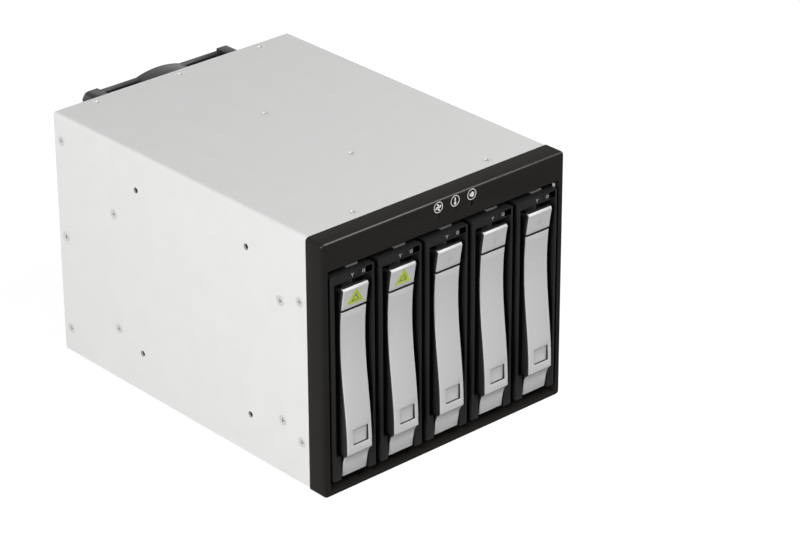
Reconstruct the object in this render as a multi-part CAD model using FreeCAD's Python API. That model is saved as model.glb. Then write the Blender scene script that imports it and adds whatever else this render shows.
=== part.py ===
"""Hot swap drive cage: five pull-out drive trays in a sheet steel case.

Frame: X to the right as seen from the front, Y from the front to the back, Z up.
Every part is drawn with Y = 0 on the bezel's front face. save() then moves it, so that
the origin is under the middle of the whole assembly, at the bezel's bottom edge.
"""
import FreeCAD, Part
import math
import os

V = FreeCAD.Vector

# ---------------------------------------------------------------- driving sizes, in mm
DRIVE_W = 101.6         # a 3.5 inch drive, standing on its long side
DRIVE_T = 26.1
DRIVE_L = 147.0
DRIVE_START = 25.2      # the drive's front end, behind the bezel's front face
DRIVE_GAP = 0.15        # clearance round the drive
PLATE = 0.8             # thickness of the carrier's sheet
TRAYS = 5
TRAY_GAP = 1.0          # from the drive to the next tray's carrier
FIT = 0.15              # gap between pieces that are pushed together

SHEET = 1.0             # thickness of the case's sheet steel
BEND_R = 1.8            # outer radius of the case's bends
SIDE_WALL = 2.5         # from the opening for the trays to the case's side
BEZEL_PROUD = 0.7       # how far the bezel stands out round the case
BODY_Z = 1.2            # case's underside over the bezel's bottom edge
BEZEL_D = 10.7
BEZEL_FRONT_R = 1.4     # rounding round the bezel's front face
BEZEL_CORNER_R = 2.0    # rounding of the bezel's four long edges
WINDOW_BOTTOM = 2.9     # the bezel's opening for the trays
WINDOW_RISE = 3.4       # from the trays to the opening's upper edge
STRIP_H = 13.8          # the bezel's strip over the trays
COLLAR_D = 10.8         # how far the bezel reaches into the case

FACE_SPACE = 2.5        # between two tray fronts
FACE_BOTTOM = 7.2
FACE_Y = -0.6           # tray front's face, a little proud of the bezel
FACE_D = 23.0           # depth of the tray front
RAIL_W = 1.9            # side rails of the tray front
BAR_H = 4.2             # top bar of the tray front
CHEEK_W = 4.6           # the two cheeks that hold the lever's pivot
CHEEK_H = 12.2
CHEEK_D = 12.0
BACK_WALL = 1.8

BEAD_W = 5.0            # pressed bead that runs in the guides
BEAD_H = 2.0
BEAD_X = -4.0           # bead's place across the tray
BEAD_START = 28.0

LEVER_SIDE = 5.5        # from a lever's edge to the edge of the tray front
ARM_INSET = 0.5
COVER_T = 1.2
LEDGE_Y = -3.95         # the sharp ledge over the lever's foot
WAIST_Y = 0.0           # where the lever's face lies deepest
BUTTON_TOP_Y = -2.6
SPLIT_GAP = 1.2         # gap between lever and release button
PIVOT_Y = 4.5
PIVOT_R = 1.6
PIVOT_FIT = 0.05
ARM_BACK = 6.2          # back of the lever's arm
BUTTON_TRAVEL = 1.0

BOARD_T = 1.6
BOARD_ROOM = 5.4        # from the drive's end to the backplane board
REAR_ROOM = 14.0        # from the board to the case's rear face
PLUG_D = 6.6
FAN = 92.0
FAN_D = 25.0
FAN_HOLES = 82.5        # spacing of the fan's screws
FAN_BORE_R = 43.4
FAN_DROP = 54.6         # fan's middle, below the case's top
HUB_R = 19.0
BLADES = 7
GUARD_WIRE = 1.6        # wire of the finger guard
GUARD_WELD = 1.3        # rings lie behind the cross wires

M3_R = 1.5
BAY_HOLE_Y = 52.3       # side mounting holes: first row behind the bezel's face
BAY_HOLE_DY = 79.25
BAY_HOLE_Z = 21.84
BAY_HOLE_DZ = 84.66

# ---------------------------------------------------------------- worked out from them
PITCH = DRIVE_T + PLATE + TRAY_GAP
TRAY_X = [(i - (TRAYS - 1) / 2) * PITCH for i in range(TRAYS)]
FACE_W = PITCH - FACE_SPACE
FACE_TOP = FACE_BOTTOM + DRIVE_W
FACE_BACK = FACE_Y + FACE_D
CHEEK_TOP = FACE_BOTTOM + CHEEK_H
MID_Z = (FACE_BOTTOM + FACE_TOP) / 2

WINDOW_W = TRAYS * PITCH + 0.1
WINDOW_TOP = FACE_TOP + WINDOW_RISE
BODY_W = WINDOW_W + 2 * SIDE_WALL
BEZEL_W = BODY_W + 2 * BEZEL_PROUD
BEZEL_H = WINDOW_TOP + STRIP_H
BODY_H = BEZEL_H - 2 * BEZEL_PROUD
BODY_Z1 = BODY_Z + BODY_H
BODY_MID_Z = BODY_Z + BODY_H / 2
IN_X = BODY_W / 2 - SHEET
IN_Z0 = BODY_Z + SHEET
IN_Z1 = BODY_Z1 - SHEET

DRIVE_Z0 = FACE_BOTTOM - DRIVE_GAP
DRIVE_Z1 = FACE_TOP + DRIVE_GAP
CARRIER_X0 = -(DRIVE_T + PLATE) / 2
CARRIER_END = DRIVE_START + DRIVE_L - 6.2
DRIVE_X0 = CARRIER_X0 + PLATE
FLANGE_X1 = DRIVE_X0 + DRIVE_T - 2.0
BEAD_TOP = DRIVE_Z1 + PLATE + BEAD_H
BEAD_BOTTOM = DRIVE_Z0 - PLATE - BEAD_H
GUIDE_START = BEZEL_D + COLLAR_D + 0.5
GUIDE_END = CARRIER_END + 6.0
GUIDE_GAP = 0.4         # over and beside what runs in the guides
UPPER_Z = DRIVE_Z1 + PLATE + 0.3
LOWER_Z = DRIVE_Z0 - PLATE - 0.3

LEVER_W = FACE_W - 2 * LEVER_SIDE
ARM_W = LEVER_W - 2 * ARM_INSET
LEVER_BOTTOM = FACE_BOTTOM + 0.7
PIVOT_Z = FACE_BOTTOM + 5.3
LEDGE_Z = FACE_BOTTOM + 13.1
WAIST_Z = FACE_TOP - 32.8
SPLIT_Z = FACE_TOP - 18.6   # lever's upper end
BUTTON_TOP = FACE_TOP - 7.6

BOARD_Y = DRIVE_START + DRIVE_L + BOARD_ROOM
BODY_END = BOARD_Y + BOARD_T + REAR_ROOM
GUARD_Y = BODY_END + FAN_D
FRONT = LEDGE_Y
REAR = GUARD_Y + GUARD_WIRE + GUARD_WELD
ORIGIN_Y = (FRONT + REAR) / 2

# ---------------------------------------------------------------- drawing helpers


def slab(x, y, z):
    """Box between the low and high limits given for each axis."""
    return Part.makeBox(x[1] - x[0], y[1] - y[0], z[1] - z[0], V(x[0], y[0], z[0]))


def rod(start, axis, length, radius):
    """Cylinder from a point along an axis."""
    return Part.makeCylinder(radius, length, V(*start), V(*axis))


def prism_x(points, x0, x1):
    """Closed outline of (y, z) corners, drawn out from x0 to x1."""
    wire = Part.makePolygon([V(x0, y, z) for y, z in points + points[:1]])
    return Part.Face(wire).extrude(V(x1 - x0, 0, 0))


def rounded(shape, radius, wanted):
    """Fillet the edges for which wanted(edge) is true."""
    edges = [e for e in shape.Edges if wanted(e)]
    return shape.makeFillet(radius, edges)


def along(edge, axis):
    """Whether a straight edge runs along the axis 0, 1 or 2."""
    if not isinstance(edge.Curve, Part.Line):
        return False
    step = edge.Vertexes[-1].Point - edge.Vertexes[0].Point
    return abs(step[axis]) > 0.999 * step.Length


def moved(shape, x=0, y=0, z=0):
    """Copy of a shape, shifted."""
    copy = shape.copy()
    copy.translate(V(x, y, z))
    return copy


def save(node, *solids):
    """Write one node, with the origin under the middle of the assembly."""
    shape = solids[0] if len(solids) == 1 else Part.makeCompound(list(solids))
    moved(shape, y=-ORIGIN_Y).exportStep(f"parts/{node}.step")


# ---------------------------------------------------------------- screws of the case

HEAD_R = 2.6            # countersunk heads
HEAD_H = 1.0
LUG_X = BODY_W / 2 - 32.1   # the bezel's screws, across the case
LUG_Y = 16.7
RIM_Y = BODY_END - 5.0  # screws through the rear panel's rims
RIM_X = BODY_W / 2 - 22.3
GUIDE_Y = (GUIDE_START + 41.7, GUIDE_END - 47.5)
TOP_SPOTS = [(LUG_X, LUG_Y), (-LUG_X, LUG_Y), (0, GUIDE_Y[0]), (0, GUIDE_Y[1]),
             (RIM_X, RIM_Y), (-RIM_X, RIM_Y), (0, RIM_Y)]
BASE_SPOTS = [(LUG_X, LUG_Y), (-LUG_X, LUG_Y), (0, GUIDE_Y[1]), (RIM_X, RIM_Y), (-RIM_X, RIM_Y)]
BEZEL_SPOTS = [(LUG_Y - 0.3, z) for z in (BODY_Z + 21.1, BODY_Z1 - 33.2)]
GUIDE_SPOTS = [(y, z) for z in (BODY_Z + 27.1, BODY_Z1 - 37.5)
               for y in (GUIDE_START + 7.5, GUIDE_END - 22.5)]
PANEL_SPOTS = [(RIM_Y, z) for z in (BODY_Z + 12.5, BODY_MID_Z - 0.8, BODY_Z1 - 13.1)]
SIDE_SPOTS = BEZEL_SPOTS + GUIDE_SPOTS + PANEL_SPOTS
BAY_SPOTS = [(BAY_HOLE_Y + i * BAY_HOLE_DY, BAY_HOLE_Z + j * BAY_HOLE_DZ)
             for i in (0, 1) for j in (0, 1)]
SHANK_R = 1.3
SHANK_L = 2.1
CORE_DEPTH = 6.0        # screw holes in the mouldings, from the case's surface


def screw(point, inward):
    """Countersunk screw whose head is flush at the point; inward points into the case."""
    head = Part.makeCone(HEAD_R, SHANK_R, HEAD_H, V(*point), V(*inward))
    shank = rod(point, inward, SHANK_L, SHANK_R)
    return head.fuse(shank).removeSplitter()


def screw_hole(point, inward, depth):
    """The space that such a screw fills, with a shank hole of the given depth."""
    head = Part.makeCone(HEAD_R, SHANK_R, HEAD_H, V(*point), V(*inward))
    return head.fuse(rod(point, inward, depth, SHANK_R))


def side_points(spots):
    """The spots on both sides of the case, each with its inward direction."""
    for side in (-1, 1):
        for y, z in spots:
            yield (side * BODY_W / 2, y, z), (-side, 0, 0)


def top_points():
    """The screws of the case's top, each with its inward direction."""
    for x, y in TOP_SPOTS:
        yield (x, y, BODY_Z1), (0, 0, -1)


def base_points():
    """The screws of the case's underside, each with its inward direction."""
    for x, y in BASE_SPOTS:
        yield (x, y, BODY_Z), (0, 0, 1)


# ---------------------------------------------------------------- case


def outer_cover():
    """Top and both sides, bent from one sheet."""
    half = BODY_W / 2
    shell = slab((-half, half), (BEZEL_D, BODY_END), (BODY_Z, BODY_Z1))
    shell = rounded(shell, BEND_R, lambda e: along(e, 1) and e.CenterOfMass.z > BODY_Z1 - 1)
    room = slab((-IN_X, IN_X), (0, BODY_END + 1), (BODY_Z - 1, IN_Z1))
    room = rounded(room, BEND_R - SHEET, lambda e: along(e, 1) and e.CenterOfMass.z > IN_Z1 - 1)
    shell = shell.cut(room)
    holes = [screw_hole(p, d, SHEET) for p, d in side_points(SIDE_SPOTS)]
    holes += [screw_hole(p, d, SHEET) for p, d in top_points()]
    holes += [rod(p, d, SHEET, M3_R) for p, d in side_points(BAY_SPOTS)]
    return shell.cut(holes)


def base_plate():
    """Flat bottom plate between the cover's sides."""
    plate = slab((-IN_X, IN_X), (BEZEL_D, BODY_END - SHEET), (BODY_Z, IN_Z0))
    return plate.cut([screw_hole(p, d, SHEET) for p, d in base_points()])


PANEL_LIP = 9.0         # how far the rear panel's rims reach forward
SOCKET_X = 20.8 - BODY_W / 2    # middle of the column of sockets
DATA_Z0 = BODY_Z + 0.52 * BODY_H
DATA_DZ = 0.0915 * BODY_H
DATA_W = 16.6
DATA_H = 7.4
POWER_Z = [BODY_Z + (0.103 + 0.1365 * i) * BODY_H for i in range(3)]
POWER_W = 23.4
POWER_H = 10.2
FAN_X = SOCKET_X + POWER_W / 2 + 2.7 + FAN / 2
FAN_Z = BODY_Z1 - FAN_DROP
PORT_GAP = 0.4


def fan_corners():
    """The four screw places of the fan, as (x, z)."""
    for sx in (-1, 1):
        for sz in (-1, 1):
            yield FAN_X + sx * FAN_HOLES / 2, FAN_Z + sz * FAN_HOLES / 2


def rear_panel():
    """Pan with rims bent forward, the fan's hole and the windows of the sockets."""
    outer = slab((-IN_X, IN_X), (BODY_END - PANEL_LIP, BODY_END), (IN_Z0, IN_Z1))
    outer = rounded(outer, BEND_R - SHEET, lambda e: along(e, 1))
    inner = slab((-IN_X + SHEET, IN_X - SHEET), (0, BODY_END - SHEET),
                 (IN_Z0 + SHEET, IN_Z1 - SHEET))
    pan = outer.cut(inner)
    cuts = [rod((FAN_X, BODY_END - 2, FAN_Z), (0, 1, 0), 4, FAN_BORE_R)]
    cuts += [rod((x, BODY_END - 2, z), (0, 1, 0), 4, SCREW_CORE_R) for x, z in fan_corners()]
    cuts.append(slab((SOCKET_X - DATA_W / 2 - PORT_GAP, SOCKET_X + DATA_W / 2 + PORT_GAP),
                     (BODY_END - 2, BODY_END + 1),
                     (DATA_Z0 - DATA_H / 2 - PORT_GAP,
                      DATA_Z0 + (TRAYS - 1) * DATA_DZ + DATA_H / 2 + PORT_GAP)))
    for z in POWER_Z:
        cuts.append(slab((SOCKET_X - POWER_W / 2 - PORT_GAP, SOCKET_X + POWER_W / 2 + PORT_GAP),
                         (BODY_END - 2, BODY_END + 1),
                         (z - POWER_H / 2 - PORT_GAP, z + POWER_H / 2 + PORT_GAP)))
    cuts += [rod(p, d, 4, SHANK_R) for p, d in side_points(PANEL_SPOTS)]
    cuts += [rod(p, d, 4, SHANK_R) for p, d in top_points()]
    cuts += [rod(p, d, 4, SHANK_R) for p, d in base_points()]
    return pan.cut(cuts)


# ---------------------------------------------------------------- bezel

LIGHT_X0 = -5.0         # first of the three small holes over the trays
LIGHT_DX = 10.1
LIGHT_Z = WINDOW_TOP + 5.7
LIGHT_R = 1.15
BEZEL_WALL = 2.2
POCKET_X = WINDOW_W / 2 - 5.8
POCKET_Z = (WINDOW_TOP + 2.4, BEZEL_H - 2.6)
LUG_W = 6.0
LUG_H = 3.4


def light_x():
    """X of the three small holes."""
    return [LIGHT_X0 + i * LIGHT_DX for i in range(3)]


def bezel():
    """Front moulding with its opening, its hollow top strip and the collar behind it."""
    half = BEZEL_W / 2
    body = slab((-half, half), (0, BEZEL_D), (0, BEZEL_H))
    body = rounded(body, BEZEL_CORNER_R, lambda e: along(e, 1))
    body = rounded(body, BEZEL_FRONT_R, lambda e: e.BoundBox.YMax < 0.01)
    body = body.fuse(bezel_collar())
    window = slab((-WINDOW_W / 2, WINDOW_W / 2), (-1, BEZEL_D + COLLAR_D + 1),
                  (WINDOW_BOTTOM, WINDOW_TOP))
    pocket = slab((-POCKET_X, POCKET_X), (BEZEL_WALL, BEZEL_D + 1), POCKET_Z)
    cuts = [window, pocket]
    cuts += [rod((x, -1, LIGHT_Z), (0, 1, 0), BEZEL_WALL + 2, LIGHT_R) for x in light_x()]
    cuts += [rod(p, d, CORE_DEPTH, SHANK_R) for p, d in side_points(BEZEL_SPOTS)]
    cuts += [rod(p, d, CORE_DEPTH, SHANK_R) for p, d in top_points()]
    cuts += [rod(p, d, SHEET + LUG_H, SHANK_R) for p, d in base_points()]
    return body.cut(cuts).removeSplitter()


def bezel_collar():
    """Three walls that enter the case, and two lugs over the base plate."""
    y = (BEZEL_D - 1, BEZEL_D + COLLAR_D)
    x1 = IN_X - FIT
    z1 = IN_Z1 - FIT
    ring = slab((-x1, x1), y, (WINDOW_BOTTOM + 5, z1))
    ring = rounded(ring, BEND_R - SHEET, lambda e: along(e, 1) and e.CenterOfMass.z > z1 - 1)
    core = slab((-WINDOW_W / 2, WINDOW_W / 2), (0, BEZEL_D + COLLAR_D + 1),
                (WINDOW_BOTTOM, z1 - BEZEL_WALL))
    lugs = [slab((x - LUG_W / 2, x + LUG_W / 2), y, (IN_Z0 + FIT, IN_Z0 + LUG_H))
            for x in (-LUG_X, LUG_X)]
    return ring.cut(core).fuse(lugs)


def status_lights():
    """Two light pipes, each set back a little in its hole."""
    pipes = []
    for x in light_x()[:2]:
        nose = rod((x, 0.4, LIGHT_Z), (0, 1, 0), BEZEL_WALL, LIGHT_R - 0.1)
        foot = rod((x, 0.4 + BEZEL_WALL, LIGHT_Z), (0, 1, 0), INDICATOR_Y - BEZEL_WALL - 0.4, 1.7)
        pipes.append(nose.fuse(foot).removeSplitter())
    return pipes


INDICATOR_Y = 6.4
INDICATOR_W = 44.0
MUTE_TRAVEL = 0.8
MUTE_FIT = 0.1


def indicator_board():
    """Small circuit board in the top strip, with the mute switch's housing on it."""
    x0 = light_x()[1] - INDICATOR_W / 2
    board = slab((x0, x0 + INDICATOR_W), (INDICATOR_Y, INDICATOR_Y + BOARD_T),
                 (POCKET_Z[0] + FIT, POCKET_Z[1] - FIT))
    switch = slab((light_x()[2] - 3, light_x()[2] + 3),
                  (INDICATOR_Y - 1.6, INDICATOR_Y), (LIGHT_Z - 3, LIGHT_Z + 3))
    well = rod((light_x()[2], 0, LIGHT_Z), (0, 1, 0), INDICATOR_Y, LIGHT_R + MUTE_FIT)
    return board.fuse(switch).cut(well)


def mute_button():
    """Plunger in the third small hole; it travels into its switch."""
    x = light_x()[2]
    stem = rod((x, 0.9, LIGHT_Z), (0, 1, 0), INDICATOR_Y - MUTE_TRAVEL - 1.1, LIGHT_R - MUTE_FIT)
    flange = rod((x, BEZEL_WALL + 0.1, LIGHT_Z), (0, 1, 0), 0.8, 1.9)
    return stem.fuse(flange).removeSplitter()


# ---------------------------------------------------------------- guides

RIB_T = 1.6
RIB_X = RIM_X
WEB_H = 5.0
POST_R = 3.4
PIPE_W = 1.5            # square light pipes of the trays
PIPE_X = (2.0, FACE_W / 2 - 3.5)
PIPE_Z0 = DRIVE_Z1 + PLATE + 0.3
CHANNEL_TOP = UPPER_Z + 2.4
UPPER_TOP = UPPER_Z + 4.2


def grooves(z0, z1):
    """One groove for the bead of each tray."""
    half = BEAD_W / 2 + GUIDE_GAP
    return [slab((x + BEAD_X - half, x + BEAD_X + half),
                 (GUIDE_START - 1, GUIDE_END + 1), (z0, z1)) for x in TRAY_X]


def upper_guide():
    """Moulding over the trays: grooves below, two ribs and two screw posts above."""
    x1 = IN_X - FIT
    plate = slab((-x1, x1), (GUIDE_START, GUIDE_END), (UPPER_Z, UPPER_TOP))
    ribs = [slab((s - RIB_T / 2, s + RIB_T / 2), (GUIDE_START, GUIDE_END), (UPPER_TOP, IN_Z1))
            for s in (-RIB_X, RIB_X)]
    posts = [rod((x, y, UPPER_TOP), (0, 0, 1), IN_Z1 - UPPER_TOP, POST_R)
             for x, y in TOP_SPOTS[2:4]]
    webs = [slab((-RIB_X, RIB_X), (y - RIB_T / 2, y + RIB_T / 2), (UPPER_TOP, UPPER_TOP + WEB_H))
            for x, y in TOP_SPOTS[2:4]]
    channels = [slab((x + PIPE_X[0] - PIPE_W, x + PIPE_X[1] + PIPE_W),
                     (GUIDE_START - 1, GUIDE_END + 1), (UPPER_Z - 1, CHANNEL_TOP)) for x in TRAY_X]
    cores = [rod(p, d, CORE_DEPTH, SHANK_R) for p, d in top_points()]
    body = plate.fuse(ribs + posts + webs).removeSplitter()
    return body.cut(grooves(UPPER_Z - 1, BEAD_TOP + GUIDE_GAP) + channels + cores)


def lower_guide():
    """Moulding under the trays, lying on the base plate."""
    x1 = IN_X - FIT
    plate = slab((-x1, x1), (GUIDE_START, GUIDE_END), (IN_Z0, LOWER_Z))
    cores = [rod(p, d, CORE_DEPTH / 2, SHANK_R) for p, d in base_points()]
    return plate.cut(grooves(BEAD_BOTTOM - GUIDE_GAP, LOWER_Z + 1) + cores)


SIDE_T = 1.2
AIR_W = 21.0            # air windows of the side guides: width, height, steps
AIR_H = 14.0
AIR_DY = 27.0
AIR_DZ = 21.0
AIR_START = (GUIDE_START + 40.0, MID_Z - 20.0)
NUT_ROOM = 7.0          # square cut-outs behind the bay holes


def side_guide(side):
    """Thin perforated wall between the outermost tray and the cover."""
    inner = IN_X - SIDE_T
    x = (inner, IN_X) if side > 0 else (-IN_X, -inner)
    through = (x[0] - 1, x[1] + 1)
    wall = slab(x, (GUIDE_START, GUIDE_END), (LOWER_Z, UPPER_Z))
    cuts = []
    for i in range(3):
        for j in range(3):
            y0 = AIR_START[0] + i * AIR_DY
            z0 = AIR_START[1] + j * AIR_DZ
            cuts.append(slab(through, (y0, y0 + AIR_W), (z0, z0 + AIR_H)))
    for y, z in BAY_SPOTS:
        cuts.append(slab(through, (y - NUT_ROOM / 2, y + NUT_ROOM / 2),
                         (z - NUT_ROOM / 2, z + NUT_ROOM / 2)))
    cuts += [rod(p, d, 4, SHANK_R) for p, d in side_points(GUIDE_SPOTS) if p[0] * side > 0]
    return wall.cut(cuts)


# ---------------------------------------------------------------- backplane

PLUG_W = 5.6
PLUG_L = 42.0
PLUG_DX = -7.6
PLUG_Z = DRIVE_Z0 + 30.25
BOARD_X = BODY_W / 2 - 2.3
BOARD_Z = (BODY_Z + 6.8, BODY_Z1 - 4.8)
SLOT_X = 9.0            # air slots beside and over the plugs
SLOT_LOW = (BODY_Z + 18.8, BODY_Z + 54.8)
SLOT_HIGH = (BODY_Z1 - 57.8, BODY_Z1 - 21.8)
POST_X = BODY_W / 2 - 5.7
POST_Z = (BODY_Z + 10.8, BODY_Z1 - 9.8)
POST_CORNER_R = 2.7     # hexagonal pillars, over their corners
POST_HEAD_R = 2.4
POST_HEAD_H = 1.6


def backplane_board():
    """Circuit board across the back, with air slots between the drive plugs."""
    board = slab((-BOARD_X, BOARD_X), (BOARD_Y, BOARD_Y + BOARD_T), BOARD_Z)
    slots = []
    for x in TRAY_X[1:]:
        slots.append(slab((x - 1, x + SLOT_X), (0, BODY_END), SLOT_LOW))
        slots.append(slab((x - SLOT_X, x + SLOT_X), (0, BODY_END), SLOT_HIGH))
    holes = [rod((x, BOARD_Y - 1, z), (0, 1, 0), 4, SHANK_R) for x, z in board_posts()]
    return board.cut(slots + holes)


def board_posts():
    """Where the board is held to the rear panel, as (x, z)."""
    return [(sx * POST_X, z) for sx in (-1, 1) for z in POST_Z]


def board_standoffs():
    """Hexagonal pillars from the rear panel to the board."""
    posts = []
    for x, z in board_posts():
        corners = [V(x + POST_CORNER_R * math.cos(a * math.pi / 3), BOARD_Y + BOARD_T,
                     z + POST_CORNER_R * math.sin(a * math.pi / 3)) for a in range(7)]
        hexagon = Part.Face(Part.makePolygon(corners))
        post = hexagon.extrude(V(0, BODY_END - SHEET - BOARD_Y - BOARD_T, 0))
        shank = rod((x, BOARD_Y, z), (0, 1, 0), BOARD_T, SHANK_R - SCREW_SLACK)
        head = rod((x, BOARD_Y - POST_HEAD_H, z), (0, 1, 0), POST_HEAD_H, POST_HEAD_R)
        posts.append(post.fuse([shank, head]).removeSplitter())
    return posts


def drive_connector(x):
    """Data and power receptacle that the drive slides onto, with its two guide horns."""
    y = (BOARD_Y - PLUG_D, BOARD_Y)
    z0 = PLUG_Z - PLUG_L / 2
    xs = (x + PLUG_DX - PLUG_W / 2, x + PLUG_DX + PLUG_W / 2)
    base = slab(xs, (BOARD_Y - 2.4, BOARD_Y), (z0, z0 + PLUG_L))
    nose = slab((xs[0] + 0.8, xs[1] - 0.8), y, (z0 + 4, z0 + PLUG_L - 4))
    data = slab((xs[0] + 2.0, xs[1] - 2.0), (y[0] - 1, y[0] + 4), (z0 + 5, z0 + 15.5))
    power = slab((xs[0] + 2.0, xs[1] - 2.0), (y[0] - 1, y[0] + 4), (z0 + 17.5, z0 + 37))
    horns = [slab((xs[0] + 1.2, xs[1] - 1.2), y, (z, z + 2.2)) for z in (z0, z0 + PLUG_L - 2.2)]
    return base.fuse([nose] + horns).cut([data, power]).removeSplitter()


def data_port(z):
    """One data socket: a shroud round an L-shaped tongue."""
    y = (BOARD_Y + BOARD_T, BODY_END + 0.8)
    shroud = slab((SOCKET_X - DATA_W / 2, SOCKET_X + DATA_W / 2), y, (z - DATA_H / 2, z + DATA_H / 2))
    hollow = slab((SOCKET_X - 6.9, SOCKET_X + 6.9), (y[1] - 8, y[1] + 1), (z - 2.5, z + 2.5))
    tongue = slab((SOCKET_X - 5.2, SOCKET_X + 5.2), (y[1] - 8, y[1] - 0.8), (z - 0.6, z + 0.6))
    foot = slab((SOCKET_X + 4.0, SOCKET_X + 5.2), (y[1] - 8, y[1] - 0.8), (z - 1.8, z + 0.6))
    return shroud.cut(hollow).fuse([tongue, foot]).removeSplitter()


POWER_WALL = 1.1
HEADER_SPOT = (36.1 - BODY_W / 2, BODY_Z1 - 10.9)
HEADER_H = 9.0
PIN_STEP = 2.54
PIN_W = 0.64
BUZZER_SPOT = (BODY_W / 2 - 13.3, BODY_Z1 - 25.8)
BUZZER_R = 6.0
BUZZER_H = 8.0


def power_socket(z):
    """One four-pin power socket with two chamfered corners."""
    y = (BOARD_Y + BOARD_T, BODY_END + 0.8)
    shell = slab((SOCKET_X - POWER_W / 2, SOCKET_X + POWER_W / 2), y,
                 (z - POWER_H / 2, z + POWER_H / 2))
    hollow = slab((SOCKET_X - POWER_W / 2 + POWER_WALL, SOCKET_X + POWER_W / 2 - POWER_WALL),
                  (y[1] - 10.5, y[1] + 1),
                  (z - POWER_H / 2 + POWER_WALL, z + POWER_H / 2 - POWER_WALL))
    upper = [e for e in hollow.Edges if along(e, 1) and e.CenterOfMass.z > z]
    return shell.cut(hollow.makeChamfer(1.8, upper))


def fan_header():
    """Small three-pin plug for the fan, on the back of the board."""
    y = BOARD_Y + BOARD_T
    x, z = HEADER_SPOT
    body = slab((x - 3.8, x + 3.8), (y, y + 3), (z - 2.9, z + 2.9))
    key = slab((x - 2.4, x + 2.4), (y, y + HEADER_H), (z - 2.9, z - 1.9))
    pins = [slab((x + i * PIN_STEP - PIN_W / 2, x + i * PIN_STEP + PIN_W / 2), (y, y + HEADER_H),
                 (z - PIN_W / 2, z + PIN_W / 2)) for i in (-1, 0, 1)]
    return body.fuse([key] + pins).removeSplitter()


def buzzer():
    """Round sounder on the back of the board."""
    y = BOARD_Y + BOARD_T
    x, z = BUZZER_SPOT
    can = rod((x, y, z), (0, 1, 0), BUZZER_H, BUZZER_R)
    return can.cut(rod((x, y + BUZZER_H - 2, z), (0, 1, 0), 3, 1.0))


# ---------------------------------------------------------------- fan

SCREW_CORE_R = 1.7
SCREW_SLACK = 0.02
FAN_BITE = 3.0          # how far the fan's screws reach into the case
FAN_HEAD_R = 3.6
FAN_HEAD_H = 1.2
FAN_FLAT = 1.3          # how far the sides lie below the corner pads
FAN_PAD = 9.0
FAN_CORNER_R = 4.0      # rounding of the fan's corners
FAN_RING_R = 46.7       # outside of the ring, which bulges past the flat sides
FAN_HOLE_R = 2.2
FAN_FLANGE = 4.0
STRUT_D = 3.6
STRUT_W = 5.0
SHAFT_R = 1.5
BLADE_GAP = 1.0
BLADE_T = 1.4
ROTOR_Y = 2.5           # rotor's front, behind the fan's front face
HUB_D = FAN_D - STRUT_D - ROTOR_Y - 1.4


def fan_frame():
    """Square fan housing: two flanges, a round duct, corner pads, struts and motor seat."""
    y0, y1 = BODY_END, BODY_END + FAN_D
    half = FAN / 2
    flat = half - FAN_FLAT
    plates = []
    for y in (y0, y1 - FAN_FLANGE):
        plate = slab((-flat, flat), (y, y + FAN_FLANGE), (-flat, flat))
        for sx in (-1, 1):
            for sz in (-1, 1):
                x = sorted((sx * half, sx * (half - FAN_PAD)))
                z = sorted((sz * half, sz * (half - FAN_PAD)))
                plate = plate.fuse(slab(x, (y, y + FAN_FLANGE), z))
        plates.append(plate)
    duct = rod((0, y0, 0), (0, 1, 0), FAN_D, FAN_RING_R)
    posts = []
    for sx in (-1, 1):
        for sz in (-1, 1):
            x = sorted((sx * half, sx * (half - FAN_PAD)))
            z = sorted((sz * half, sz * (half - FAN_PAD)))
            posts.append(slab(x, (y0, y1), z))
            posts.append(rod((sx * FAN_HOLES / 2, y0, sz * FAN_HOLES / 2), (0, 1, 0), FAN_D, 3.9))
    hull = slab((-half, half), (y0, y1), (-half, half))
    hull = rounded(hull, FAN_CORNER_R, lambda e: along(e, 1))
    body = plates[0].fuse(plates[1:] + posts).common(hull).fuse(duct)
    body = body.cut(rod((0, y0 - 1, 0), (0, 1, 0), FAN_D + 2, FAN_BORE_R))
    body = body.cut([rod((sx * FAN_HOLES / 2, y0 - 1, sz * FAN_HOLES / 2), (0, 1, 0), FAN_D + 2,
                         FAN_HOLE_R) for sx in (-1, 1) for sz in (-1, 1)])
    seat = rod((0, y1 - STRUT_D, 0), (0, 1, 0), STRUT_D, HUB_R)
    strut = slab((-FAN_BORE_R - 1, FAN_BORE_R + 1), (y1 - STRUT_D, y1),
                 (-STRUT_W / 2, STRUT_W / 2))
    struts = []
    for turn in (45, 135):
        arm = strut.copy()
        arm.rotate(V(0, 0, 0), V(0, 1, 0), turn)
        struts.append(arm)
    shaft = rod((0, y0 + ROTOR_Y + 6, 0), (0, 1, 0), FAN_D - STRUT_D - ROTOR_Y - 6, SHAFT_R)
    frame = body.fuse([seat, shaft] + struts).removeSplitter()
    return moved(frame, FAN_X, 0, FAN_Z)


def blade(turn):
    """One twisted blade, lofted from the hub to the tip."""
    tip_r = FAN_BORE_R - BLADE_GAP
    sections = []
    for r, pitch, chord in ((HUB_R - 0.6, 48, 15.0), ((HUB_R + tip_r) / 2, 36, 21.0),
                            (tip_r - 0.4, 27, 27.0)):
        a = math.radians(pitch)
        dx, dy = chord / 2 * math.cos(a), chord / 2 * math.sin(a)
        bow = 1.6
        low = V(-dx, -dy, r)
        high = V(dx, dy, r)
        nx, ny = -math.sin(a), math.cos(a)
        top = V(nx * (bow + BLADE_T / 2), ny * (bow + BLADE_T / 2), r)
        under = V(nx * (bow - BLADE_T / 2), ny * (bow - BLADE_T / 2), r)
        wire = Part.Wire([Part.Arc(low, top, high).toShape(), Part.Arc(high, under, low).toShape()])
        sections.append(wire)
    body = Part.makeLoft(sections, True)
    body.translate(V(0, BODY_END + ROTOR_Y + HUB_D / 2 + 0.25, 0))
    body.rotate(V(0, 0, 0), V(0, 1, 0), turn)
    return body


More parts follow.
